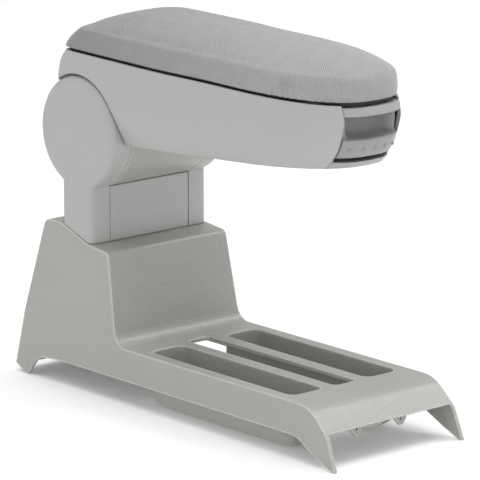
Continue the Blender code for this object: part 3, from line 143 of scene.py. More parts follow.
@dataclass(frozen=True)
class GrainedPolypropylene:
    """Polypropylene moulded in an etched tool: small soft pebbles that scatter the light.

    The pebbles' smooth tops catch small sparkling highlights along rounded edges, and a paler
    colour is painted along those edges as a painted highlight. The pigment is even, so only a trace
    of cloudiness shows. The shader rounds the corners further than the mesh does. The pebbles' width
    is a guess.
    """

    name: str = "moulded_polypropylene"
    ior: float = 1.49
    colour: str = "A4A5A0"
    cloud: str = "9FA09A"
    cloud_size: float = 38.0
    pebble: float = 1.3
    pebble_reach: float = 0.75  # share of a cell where the pebble meets the valley
    merging: float = 0.35  # how softly pebbles meet
    drift_pebbles: float = 2.6  # scale of the pebbles' drift, in pebbles
    fine_grit: float = 0.45
    fine_share: float = 0.25
    depth: float = 0.32
    bump_strength: float = 0.8
    roughness: float = 0.36
    gloss_spread: tuple[float, float] = (-0.05, 0.07)
    # painted highlight: the paler colour laid along edges
    edge_highlight_colour: str = "E6E7E2"
    edge_highlight_most: float = 0.85  # most that the painted edge highlight shows
    edge_highlight_span: tuple[float, float] = (0.995, 0.91)  # cosine of the turn, flat to full painted highlight
    skin: float = 0.35
    skin_roughness: float = 0.2
    edge_radius: float = 2.2

    def build(self) -> bpy.types.Material:
        """Make the material.

        Returns:
            The material.
        """
        material, tree, shader = new_material(self.name, IOR=self.ior, Coat_Weight=self.skin,
                                              Coat_Roughness=self.skin_roughness)
        place = add_node(tree, "ShaderNodeTexCoord").outputs["Object"]
        drift = add_node(tree, "ShaderNodeTexNoise",
                         {"Scale": pattern_scale(self.drift_pebbles * self.pebble), "Detail": 1.0},
                         {"Vector": place})
        shift = add_node(tree, "ShaderNodeVectorMath",
                         {"operation": "SCALE", "Scale": self.pebble * MM},
                         {0: drift.outputs["Color"]})
        moved = add_node(tree, "ShaderNodeVectorMath", {"operation": "ADD"},
                         {0: place, 1: shift.outputs[0]})
        cells = add_node(tree, "ShaderNodeTexVoronoi",
                         {"feature": "SMOOTH_F1", "Scale": pattern_scale(self.pebble),
                          "Smoothness": self.merging},
                         {"Vector": moved.outputs[0]})
        fine = add_node(tree, "ShaderNodeTexNoise",
                        {"Scale": pattern_scale(self.fine_grit), "Detail": 2.0},
                        {"Vector": place})
        pebbles = add_node(tree, "ShaderNodeMapRange",
                           {"From Min": 0.0, "From Max": self.pebble_reach, "To Min": 1.0, "To Max": 0.0},
                           {"Value": cells.outputs["Distance"]})
        height = add_node(tree, "ShaderNodeMath", {"operation": "MULTIPLY_ADD", 1: self.fine_share},
                          {0: fine.outputs["Fac"], 2: pebbles.outputs["Result"]})
        edge = add_node(tree, "ShaderNodeBevel",
                        {"samples": BEVEL_SAMPLES, "Radius": self.edge_radius * MM})
        bump = add_node(tree, "ShaderNodeBump",
                        {"Strength": self.bump_strength, "Distance": self.depth * MM},
                        {"Height": height.outputs[0], "Normal": edge.outputs["Normal"]})
        clouds = add_node(tree, "ShaderNodeTexNoise",
                          {"Scale": pattern_scale(self.cloud_size), "Detail": 3.0},
                          {"Vector": place})
        blend = add_node(tree, "ShaderNodeMix",
                         {"data_type": "RGBA", 6: linear_colour(self.colour), 7: linear_colour(self.cloud)},
                         {0: clouds.outputs["Fac"]})
        gloss = add_node(tree, "ShaderNodeMapRange",
                         {"To Min": self.roughness + self.gloss_spread[0],
                          "To Max": self.roughness + self.gloss_spread[1]},
                         {"Value": pebbles.outputs["Result"]})
        facing = add_node(tree, "ShaderNodeNewGeometry").outputs["Normal"]
        turned = add_node(tree, "ShaderNodeVectorMath", {"operation": "DOT_PRODUCT"},
                          {0: facing, 1: edge.outputs["Normal"]})
        # painted highlight: the colour turns paler where the shader's bevel turns the normal, along edges and
        # creases
        edge_highlight = add_node(tree, "ShaderNodeMapRange",
                          {"From Min": self.edge_highlight_span[0], "From Max": self.edge_highlight_span[1], "To Max": self.edge_highlight_most},
                          {"Value": turned.outputs["Value"]})
        highlighted_colour = add_node(tree, "ShaderNodeMix",
                        {"data_type": "RGBA", 7: linear_colour(self.edge_highlight_colour)},
                        {0: edge_highlight.outputs["Result"], 6: blend.outputs[2]})
        tree.links.new(highlighted_colour.outputs[2], shader.inputs["Base Color"])
        tree.links.new(gloss.outputs["Result"], shader.inputs["Roughness"])
        tree.links.new(bump.outputs["Normal"], shader.inputs["Normal"])
        return material


@dataclass(frozen=True)
class BlastedPlastic:
    """A plastic moulded in a blasted tool: a smooth satin face with a fine frosted texture.

    The frosting spreads every reflection into a broad soft sheen, and the shader rounds the
    corners a little further than the mesh does.
    """

    name: str
    colour: str
    cloud: str
    cloud_size: float = 55.0
    ior: float = 1.53
    grit: float = 0.55
    grit_roughness: float = 0.6
    depth: float = 0.022
    bump_strength: float = 0.6
    roughness: float = 0.44
    gloss_spread: tuple[float, float] = (-0.03, 0.04)
    skin: float = 0.12
    skin_roughness: float = 0.25
    edge_radius: float = 1.2

    def build(self) -> bpy.types.Material:
        """Make the material.

        Returns:
            The material.
        """
        material, tree, shader = new_material(self.name, IOR=self.ior, Coat_Weight=self.skin,
                                              Coat_Roughness=self.skin_roughness)
        place = add_node(tree, "ShaderNodeTexCoord").outputs["Object"]
        frost = add_node(tree, "ShaderNodeTexNoise",
                         {"Scale": pattern_scale(self.grit), "Detail": 3.0, "Roughness": self.grit_roughness},
                         {"Vector": place})
        edge = add_node(tree, "ShaderNodeBevel",
                        {"samples": BEVEL_SAMPLES, "Radius": self.edge_radius * MM})
        bump = add_node(tree, "ShaderNodeBump",
                        {"Strength": self.bump_strength, "Distance": self.depth * MM},
                        {"Height": frost.outputs["Fac"], "Normal": edge.outputs["Normal"]})
        clouds = add_node(tree, "ShaderNodeTexNoise",
                          {"Scale": pattern_scale(self.cloud_size), "Detail": 2.0},
                          {"Vector": place})
        blend = add_node(tree, "ShaderNodeMix",
                         {"data_type": "RGBA", 6: linear_colour(self.colour), 7: linear_colour(self.cloud)},
                         {0: clouds.outputs["Fac"]})
        gloss = add_node(tree, "ShaderNodeMapRange",
                         {"To Min": self.roughness + self.gloss_spread[0],
                          "To Max": self.roughness + self.gloss_spread[1]},
                         {"Value": clouds.outputs["Fac"]})
        tree.links.new(blend.outputs[2], shader.inputs["Base Color"])
        tree.links.new(gloss.outputs["Result"], shader.inputs["Roughness"])
        tree.links.new(bump.outputs["Normal"], shader.inputs["Normal"])
        return material


@dataclass(frozen=True)
class SatinAbs(BlastedPlastic):
    """Blasted ABS in the arm's light grey: it looks clean, dry and softly shining."""

    name: str = "satin_abs"
    colour: str = "AFB1AF"
    cloud: str = "ABADAA"


@dataclass(frozen=True)
class BezelAbs(SatinAbs):
    """The same ABS a shade darker, so the bezel's bar and pillars stand out from the shell."""

    name: str = "satin_abs_trim"
    colour: str = "A4A6A3"
    cloud: str = "A0A29F"


@dataclass(frozen=True)
class FlapAbs(SatinAbs):
    """The same ABS darker still, so the flap reads as a part of its own inside the bezel."""

    name: str = "satin_abs_flap"
    colour: str = "949794"
    cloud: str = "90938F"


@dataclass(frozen=True)
class BlackPolypropylene(BlastedPlastic):
    """Black polypropylene with a coarse grain: near black and matt, with tiny paler specks."""

    name: str = "dark_polypropylene"
    colour: str = "2E2E2C"
    cloud: str = "0E0E0D"
    cloud_size: float = 0.9
    grit: float = 1.3
    depth: float = 0.25
    roughness: float = 0.6


@dataclass(frozen=True)
class NaturalNylon(BlastedPlastic):
    """Unpigmented nylon: off-white, a little warm, with a softer sheen than the ABS."""

    name: str = "natural_nylon"
    colour: str = "DAD7CC"
    cloud: str = "D2CFC4"
    grit: float = 0.8
    depth: float = 0.02
    roughness: float = 0.5


@dataclass(frozen=True)
class ZincPlatedSteel:
    """Pressed and turned steel with a zinc coat: a cool metal with faint spangles.

    The spangles change its shade from patch to patch, and fine scratches dull it unevenly.
    """

    name: str = "zinc_plated_steel_finish"
    colour: str = "C3C5C7"
    shade: str = "A7ABB0"
    spangle: float = 2.4
    scratch: float = 0.8
    depth: float = 0.01
    bump_strength: float = 0.3
    roughness: float = 0.34
    gloss_spread: tuple[float, float] = (-0.08, 0.1)

    def build(self) -> bpy.types.Material:
        """Make the material.

        Returns:
            The material.
        """
        material, tree, shader = new_material(self.name, Metallic=1.0)
        place = add_node(tree, "ShaderNodeTexCoord").outputs["Object"]
        spangles = add_node(tree, "ShaderNodeTexVoronoi", {"Scale": pattern_scale(self.spangle)},
                            {"Vector": place})
        blend = add_node(tree, "ShaderNodeMix",
                         {"data_type": "RGBA", 6: linear_colour(self.colour), 7: linear_colour(self.shade)},
                         {0: spangles.outputs["Color"]})
        scratches = add_node(tree, "ShaderNodeTexNoise",
                             {"Scale": pattern_scale(self.scratch), "Detail": 3.0},
                             {"Vector": place})
        gloss = add_node(tree, "ShaderNodeMapRange",
                         {"To Min": self.roughness + self.gloss_spread[0],
                          "To Max": self.roughness + self.gloss_spread[1]},
                         {"Value": scratches.outputs["Fac"]})
        bump = add_node(tree, "ShaderNodeBump",
                        {"Strength": self.bump_strength, "Distance": self.depth * MM},
                        {"Height": scratches.outputs["Fac"]})
        tree.links.new(blend.outputs[2], shader.inputs["Base Color"])
        tree.links.new(gloss.outputs["Result"], shader.inputs["Roughness"])
        tree.links.new(bump.outputs["Normal"], shader.inputs["Normal"])
        return material


@dataclass(frozen=True)
class PressedBoard:
    """Hardboard pressed from wood fibre: brown, matt and finely stringy along the arm."""

    name: str = "pressed_fibre_board"
    colour: str = "7A5A3C"
    fibre: str = "5E432B"
    fibre_width: float = 0.6
    fibre_stretch: float = 0.25  # scale along the arm against across
    depth: float = 0.05
    bump_strength: float = 0.6
    roughness: float = 0.85

    def build(self) -> bpy.types.Material:
        """Make the material.

        Returns:
            The material.
        """
        material, tree, shader = new_material(self.name, Roughness=self.roughness)
        place = add_node(tree, "ShaderNodeTexCoord").outputs["Object"]
        stretch = add_node(tree, "ShaderNodeMapping", {"Scale": (self.fibre_stretch, 1.0, 1.0)},
                           {"Vector": place})
        fibres = add_node(tree, "ShaderNodeTexNoise",
                          {"Scale": pattern_scale(self.fibre_width), "Detail": 4.0},
                          {"Vector": stretch.outputs[0]})
        blend = add_node(tree, "ShaderNodeMix",
                         {"data_type": "RGBA", 6: linear_colour(self.colour), 7: linear_colour(self.fibre)},
                         {0: fibres.outputs["Fac"]})
        bump = add_node(tree, "ShaderNodeBump",
                        {"Strength": self.bump_strength, "Distance": self.depth * MM},
                        {"Height": fibres.outputs["Fac"]})
        tree.links.new(blend.outputs[2], shader.inputs["Base Color"])
        tree.links.new(bump.outputs["Normal"], shader.inputs["Normal"])
        return material


@dataclass(frozen=True)
class TwillCloth:
    """Polyester twill over foam: neutral grey, with fine diagonal ribs and a soft sheen.

    Slack sways the ribs a little, and they show in some patches more than in others. The colour is
    darkened towards the rear as painted shade. The real ribs are about 0.6 mm apart, too fine for
    the render, so they are drawn at 1.9 mm.
    """

    name: str = "twill_cloth"
    colour: str = "B4B4B4"
    thread: str = "8C8C8C"
    roughness: float = 0.88
    specular: float = 0.25
    sheen: float = 0.25
    sheen_roughness: float = 0.45
    rib: float = 1.9
    rib_angle: float = 60.0
    weft_angle: float = 38.0
    slack: float = 7.0
    sway: float = 1.2
    fuzz: float = 1.1
    fuzz_share: float = 2.4
    patch: float = 11.0
    patch_span: tuple[float, float] = (0.35, 0.62)
    patch_least: float = 0.15
    depth: float = 0.12
    bump_strength: float = 0.75
    height_span: tuple[float, float] = (-0.6, 2.9)
    shade_span: tuple[float, float] = (-140.0, 118.0)  # places along the arm where the painted shade runs from full to none
    rear_shade_level: float = 0.72  # painted shade: brightness at the rear against the front

    def wave(self, tree: bpy.types.NodeTree, flat: bpy.types.NodeSocket,
             angle: float) -> bpy.types.NodeSocket:
        """Draw even ribs across the cloth's flat coordinates.

        Args:
            tree: the material's nodes.
            flat: the cloth's flat coordinates in metres.
            angle: the direction across the ribs, in degrees.

        Returns:
            A value from -1 to 1.
        """
        turn = 2 * math.pi / (self.rib * MM)
        across = (math.cos(math.radians(angle)) * turn, math.sin(math.radians(angle)) * turn, 0.0)
        along = add_node(tree, "ShaderNodeVectorMath", {"operation": "DOT_PRODUCT", 1: across}, {0: flat})
        wave = add_node(tree, "ShaderNodeMath", {"operation": "SINE"}, {0: along.outputs["Value"]})
        return wave.outputs[0]

    def build(self) -> bpy.types.Material:
        """Make the material.

        Returns:
            The material.
        """
        material, tree, shader = new_material(self.name, Roughness=self.roughness, Sheen_Weight=self.sheen,
                                              Sheen_Roughness=self.sheen_roughness,
                                              Specular_IOR_Level=self.specular)
        flat = add_node(tree, "ShaderNodeUVMap", {"uv_map": "cloth"}).outputs["UV"]
        place = add_node(tree, "ShaderNodeTexCoord").outputs["Object"]
        slack = add_node(tree, "ShaderNodeTexNoise", {"Scale": pattern_scale(self.slack), "Detail": 3.0},
                         {"Vector": place})
        sway = add_node(tree, "ShaderNodeVectorMath", {"operation": "SCALE", "Scale": self.sway * MM},
                        {0: slack.outputs["Color"]})
        moved = add_node(tree, "ShaderNodeVectorMath", {"operation": "ADD"}, {0: flat, 1: sway.outputs[0]})
        ribs = self.wave(tree, moved.outputs[0], self.rib_angle)
        picks = self.wave(tree, moved.outputs[0], self.weft_angle)
        fuzz = add_node(tree, "ShaderNodeTexNoise", {"Scale": pattern_scale(self.fuzz), "Detail": 2.0},
                        {"Vector": place})
        woven = add_node(tree, "ShaderNodeMath", {"operation": "ADD"}, {0: picks, 1: ribs})
        patches = add_node(tree, "ShaderNodeTexNoise", {"Scale": pattern_scale(self.patch), "Detail": 1.0},
                           {"Vector": place})
        plain = add_node(tree, "ShaderNodeMapRange",
                         {"From Min": self.patch_span[0], "From Max": self.patch_span[1],
                          "To Min": self.patch_least},
                         {"Value": patches.outputs["Fac"]})
        crossed = add_node(tree, "ShaderNodeMath", {"operation": "MULTIPLY"},
                           {0: woven.outputs[0], 1: plain.outputs["Result"]})
        height = add_node(tree, "ShaderNodeMath", {"operation": "MULTIPLY_ADD", 1: self.fuzz_share},
                          {0: fuzz.outputs["Fac"], 2: crossed.outputs[0]})
        bump = add_node(tree, "ShaderNodeBump",
                        {"Strength": self.bump_strength, "Distance": self.depth * MM},
                        {"Height": height.outputs[0]})
        level = add_node(tree, "ShaderNodeMapRange",
                         {"From Min": self.height_span[0], "From Max": self.height_span[1]},
                         {"Value": height.outputs[0]})
        blend = add_node(tree, "ShaderNodeMix",
                         {"data_type": "RGBA", 6: linear_colour(self.thread), 7: linear_colour(self.colour)},
                         {0: level.outputs["Result"]})
        along = add_node(tree, "ShaderNodeSeparateXYZ", {}, {0: place})
        # painted shade: the colour is darkened towards the rear of the arm
        along_falloff = add_node(tree, "ShaderNodeMapRange",
                        {"From Min": self.shade_span[0] * MM, "From Max": self.shade_span[1] * MM,
                         "To Min": self.rear_shade_level},
                        {"Value": along.outputs["X"]})
        shaded_colour = add_node(tree, "ShaderNodeVectorMath", {"operation": "SCALE"},
                         {0: blend.outputs[2], "Scale": along_falloff.outputs["Result"]})
        tree.links.new(shaded_colour.outputs[0], shader.inputs["Base Color"])
        tree.links.new(bump.outputs["Normal"], shader.inputs["Normal"])
        return material


@dataclass
class Finishes:
    """Every finish of the armrest, by its slot, or by its node where that has its own."""

    made: dict[Slot | OwnFinish, bpy.types.Material] = field(default_factory=dict)

    def build(self) -> None:
        """Make all the finishes."""
        kinds = {
            Slot.MOULDED: GrainedPolypropylene(),
            Slot.SATIN: SatinAbs(),
            OwnFinish.BEZEL: BezelAbs(),
            OwnFinish.FLAP: FlapAbs(),
            Slot.DARK: BlackPolypropylene(),
            Slot.STEEL: ZincPlatedSteel(),
            Slot.NYLON: NaturalNylon(),
            Slot.CLOTH: TwillCloth(),
            Slot.BOARD: PressedBoard(),
        }
        self.made = {key: finish.build() for key, finish in kinds.items()}


@dataclass(frozen=True)
class Lamp:
    """A soft square lamp: its place and side are in metres and its power in watts."""

    name: str
    spot: tuple[float, float, float]
    side: float
    watts: float


@dataclass
class Studio:
    """The camera at the photograph's angle, the soft lights and the floor.

    The aim point is a place on the part. It lies at the given distance ahead of the camera, and
    aim says how far right and up of the picture's middle it lies there.
    """

    azimuth: float = 48.79
    elevation: float = 13.47
    focal_pixels: float = 3672.6
    image_pixels: float = 480.0
    distance: float = 2886.7
    aim: tuple[float, float] = (-70.9, 6.85)
    aim_point: tuple[float, float, float] = (-99.0, 0.0, 119.5)
    sensor_width: float = 36.0
    far_clip: float = 50.0  # in metres
    lamp_target: tuple[float, float, float] = (0.0, 0.0, 0.15)  # in metres
    lamps: tuple[Lamp, ...] = (
        Lamp("top_light", (0.3, -0.2, 2.4), 1.8, 24.6),
        Lamp("far_light", (0.4, 1.6, 2.0), 1.0, 14.6),
        Lamp("low_fill", (-1.6, -1.9, 0.5), 1.4, 1.4),
        Lamp("front_fill", (2.4, -1.1, 0.6), 0.35, 3.0),
    )
    floor_half: float = 6.0  # in metres
    floor_colour: str = "FAFAFA"
    floor_roughness: float = 0.9
    floor_glow: float = 0.14
    air_colour: str = "FFFFFF"
    air_strength: float = 0.65

    def view_axes(self) -> tuple[Vector, Vector, Vector]:
        """Give the camera's right, up and forward directions.

        Returns:
            The three directions.
        """
        turn, rise = math.radians(self.azimuth), math.radians(self.elevation)
        forward = Vector((-math.sin(turn) * math.cos(rise), math.cos(turn) * math.cos(rise), -math.sin(rise)))
        right = Vector((math.cos(turn), math.sin(turn), 0))
        return right, right.cross(forward), forward

    def add_camera(self) -> None:
        """Place the camera as the photograph's perspective says."""
        right, up, forward = self.view_axes()
        centre = Vector(self.aim_point) - (self.aim[0] * right + self.aim[1] * up + self.distance * forward)
        place = Matrix((right, up, -forward)).transposed().to_4x4()
        place.translation = centre * MM
        camera = bpy.data.objects.new("camera", bpy.data.cameras.new("camera"))
        bpy.context.scene.collection.objects.link(camera)
        camera.matrix_world = place
        camera.data.sensor_width = self.sensor_width
        camera.data.lens = self.focal_pixels / self.image_pixels * self.sensor_width
        camera.data.clip_end = self.far_clip
        bpy.context.scene.camera = camera

    def add_lamp(self, lamp: Lamp) -> None:
        """Add a lamp that faces the part.

        Args:
            lamp: the lamp's figures.
        """
        light = bpy.data.objects.new(lamp.name, bpy.data.lights.new(lamp.name, "AREA"))
        bpy.context.scene.collection.objects.link(light)
        light.data.size = lamp.side
        light.data.energy = lamp.watts
        light.location = lamp.spot
        away = Vector(lamp.spot) - Vector(self.lamp_target)
        light.rotation_euler = away.to_track_quat("Z", "Y").to_euler()

    def add_floor(self) -> None:
        """Lay a plain white floor that reaches past the view."""
        half = self.floor_half
        corners = [(-half, -half, 0), (half, -half, 0), (half, half, 0), (-half, half, 0)]
        mesh = bpy.data.meshes.new("floor")
        mesh.from_pydata(corners, [], [(0, 1, 2, 3)])
        floor = bpy.data.objects.new("floor", mesh)
        bpy.context.scene.collection.objects.link(floor)
        material, _, shader = new_material("white_sweep", Roughness=self.floor_roughness)
        shader.inputs["Base Color"].default_value = linear_colour(self.floor_colour)
        shader.inputs["Emission Color"].default_value = linear_colour(self.air_colour)
        shader.inputs["Emission Strength"].default_value = self.floor_glow
        mesh.materials.append(material)

    def add_air(self) -> None:
        """Fill the studio with even white light."""
        world = bpy.data.worlds.new("studio_air")
        world.use_nodes = True
        air = world.node_tree.nodes["Background"]
        air.inputs["Color"].default_value = linear_colour(self.air_colour)
        air.inputs["Strength"].default_value = self.air_strength
        bpy.context.scene.world = world

    def build(self) -> None:
        """Set up the studio."""
        self.add_camera()
        for lamp in self.lamps:
            self.add_lamp(lamp)
        self.add_floor()
        self.add_air()
        bpy.context.scene.view_settings.view_transform = "Standard"


@dataclass
class KeptPieces:
    """The CAD pieces that stay as they are, with their edges rounded and their finish added.

    A piece named in own_edges has its own width of rounding, and small hard parts have a share of
    the usual one.
    """

    finishes: Finishes
    edge: float = 0.5
    small_share: float = 0.4
    small_slots: tuple[Slot, ...] = (Slot.STEEL, Slot.NYLON)
    own_edges: dict[str, float] = field(default_factory=lambda: {
        "arm_shell": 0.8,
        "console_base": 0.8,
        "front_bezel": 0.9,
        "left_cheek": 1.1,
        "right_cheek": 1.1,
    })
    own_finishes: dict[str, OwnFinish] = field(default_factory=lambda: {
        OwnFinish.BEZEL.value: OwnFinish.BEZEL,
    })
    sharp_angle: float = 32.0
    weld_distance: float = 0.002
    edge_segments: int = 2

    def dress(self, piece: bpy.types.Object) -> None:
        """Give one piece its finish and soft edges.

        Args:
            piece: the CAD node's object.
        """
        slot = Slot(piece.data.materials[0].name.split(".")[0])
        piece.data.materials[0] = self.finishes.made[self.own_finishes.get(piece.name, slot)]
        usual = self.edge * (self.small_share if slot in self.small_slots else 1.0)
        weld = piece.modifiers.new("weld", "WELD")
        weld.merge_threshold = self.weld_distance * MM
        bevel = piece.modifiers.new("soft_edges", "BEVEL")
        bevel.width = self.own_edges.get(piece.name, usual) * MM
        bevel.segments = self.edge_segments
        bevel.limit_method = "ANGLE"
        bevel.angle_limit = math.radians(self.sharp_angle)
        bevel.use_clamp_overlap = True
        weighted = piece.modifiers.new("even_shading", "WEIGHTED_NORMAL")
        weighted.keep_sharp = False

    def build(self) -> None:
        """Dress every CAD node."""
        for name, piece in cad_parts.items():
            self.dress(piece)
            log.info("dressed %s", name)


def link_mesh(name: str, points: list, faces: list, finish: bpy.types.Material) -> bpy.types.Object:
    """Make a mesh piece from points in millimetres.

    Args:
        name: the piece's name.
        points: its corners.
        faces: its faces, as corner numbers.
        finish: its material.

    Returns:
        The new piece.
    """
    mesh = bpy.data.meshes.new(name)
    mesh.from_pydata([tuple(value * MM for value in point) for point in points], [], faces)
    mesh.materials.append(finish)
    mesh.shade_smooth()
    piece = bpy.data.objects.new(name, mesh)
    bpy.context.scene.collection.objects.link(piece)
    return piece


def join_rings(faces: list, low: int, high: int, count: int) -> None:
    """Add the faces between two closed rings of points.

    Args:
        faces: the faces so far.
        low: the number of the first ring's first point.
        high: the number of the second ring's first point.
        count: how many points a ring has.
    """
    for step in range(count):
        after = (step + 1) % count
        faces.append((low + step, low + after, high + after, high + step))


def face_outwards(piece: bpy.types.Object) -> None:
    """Turn every face of a closed piece outwards.

    Args:
        piece: the piece.
    """
    work = bmesh.new()
    work.from_mesh(piece.data)
    bmesh.ops.recalc_face_normals(work, faces=work.faces)
    work.to_mesh(piece.data)
    work.free()


def apply_modifiers(piece: bpy.types.Object) -> None:
    """Turn a piece's modifiers into its mesh.

    Args:
        piece: the piece.
    """
    graph = bpy.context.evaluated_depsgraph_get()
    result = bpy.data.meshes.new_from_object(piece.evaluated_get(graph))
    piece.modifiers.clear()
    piece.data = result
    result.name = piece.name


def points_of(mesh: bpy.types.Mesh) -> np.ndarray:
    """Give a mesh's points in millimetres.

    Args:
        mesh: the mesh.

    Returns:
        One row for each point.
    """
    flat = np.empty(len(mesh.vertices) * 3, dtype=np.float32)
    mesh.vertices.foreach_get("co", flat)
    return flat.reshape(-1, 3).astype(np.float64) / MM


def set_points(mesh: bpy.types.Mesh, points: np.ndarray) -> None:
    """Move a mesh's points to places in millimetres."""
    mesh.vertices.foreach_set("co", (points * MM).astype(np.float32).ravel())
    mesh.update()


def normals_of(mesh: bpy.types.Mesh) -> np.ndarray:
    """Give the direction out of each point of a mesh.

    Args:
        mesh: the mesh.

    Returns:
        One row for each point, of length 1.
    """
    flat = np.empty(len(mesh.vertices) * 3, dtype=np.float32)
    mesh.vertex_normals.foreach_get("vector", flat)
    return flat.reshape(-1, 3).astype(np.float64)


def bell(values: np.ndarray, centre: float, spread: float) -> np.ndarray:
    """Give a bell curve of height 1."""
    return np.exp(-((values - centre) / spread) ** 2)


def ease(values: np.ndarray | float, low: float, high: float) -> np.ndarray | float:
    """Ease values from 0 at low to 1 at high."""
    share = np.clip((values - low) / (high - low), 0.0, 1.0)
    return share * share * (3 - 2 * share)


def curve_through(knots: tuple, at: float) -> list[float]:
    """Follow a smooth curve through rows of numbers.

    Args:
        knots: rows whose first number is the place along the curve, in rising order.
        at: the place to read.

    Returns:
        The row's other numbers at that place.
    """
    after = min(len(knots) - 1, max(1, sum(1 for row in knots if row[0] < at)))
    rows = [knots[max(0, min(len(knots) - 1, after + step))] for step in (-2, -1, 0, 1)]
    (_, *before_last), (start, *last), (end, *following), (_, *after_next) = rows
    share = (at - start) / (end - start)
    found = []
    for a, b, c, d in zip(before_last, last, following, after_next):
        found.append(0.5 * (2 * b + (c - a) * share + (2 * a - 5 * b + 4 * c - d) * share ** 2
                            + (3 * b - a - 3 * c + d) * share ** 3))
    return found


@dataclass
class ArmPlan:
    """The plan outline that the arm's rim, the lid and the flap share, and the rim's slope."""

    hinge_x: float = -117.0
    rim_at_hinge: float = 266.7
    rim_fall: float = 0.0205
    half_width: float = 57.5
    taper: float = 4.0
    taper_start: float = -30.0
    nose_start: float = 40.5
    nose_powers: tuple[float, float] = (2.64, 2.69)
    corner_steps: int = 8
    straight_steps: int = 30
    nose_steps: int = 36

    def rim(self, x: np.ndarray | float) -> np.ndarray | float:
        """Give the rim's height."""
        return self.rim_at_hinge - self.rim_fall * (x - self.hinge_x)

    def ring(self, half: float, rear: float, front: float, corner: float) -> list[tuple[float, float]]:
        """Draw the plan outline, its right side first and then its left side.

        Args:
            half: the half width at the rear.
            rear: the rear end.
            front: the front end.
            corner: the radius of the rear corners.

        Returns:
            The outline's points.
        """
        side = []
        for step in range(self.corner_steps):
            turn = math.pi / 2 * step / self.corner_steps
            side.append((rear + corner * (1 - math.cos(turn)), half - corner * (1 - math.sin(turn))))
        for step in range(self.straight_steps):
            x = rear + corner + (self.nose_start - rear - corner) * step / self.straight_steps
            side.append((x, half - self.taper * float(ease(x, self.taper_start, self.nose_start))))
        wide, length = half - self.taper, front - self.nose_start
        for step in range(self.nose_steps + 1):
            turn = math.pi / 2 * step / self.nose_steps
            side.append((self.nose_start + length * math.sin(turn) ** (2 / self.nose_powers[0]),
                         wide * max(0.0, math.cos(turn)) ** (2 / self.nose_powers[1])))
        return [(x, -y) for x, y in side] + [(x, y) for x, y in reversed(side)]

    def skin(self, rings: list[list[tuple[float, float, float]]]) -> tuple[list, list]:
        """Skin rings from bottom to top and bridge both ends across the width.

        Args:
            rings: outlines with heights, all from the same plan.

        Returns:
            The points and the faces.
        """
        count = len(rings[0])
        half = count // 2
        points = [point for ring in rings for point in ring]
        faces = []
        for level in range(len(rings) - 1):
            join_rings(faces, level * count, (level + 1) * count, count)
        for low in (0, len(points) - count):
            for index in range(half - 1):
                faces.append((low + index, low + index + 1, low + count - 2 - index, low + count - 1 - index))
        return points, faces


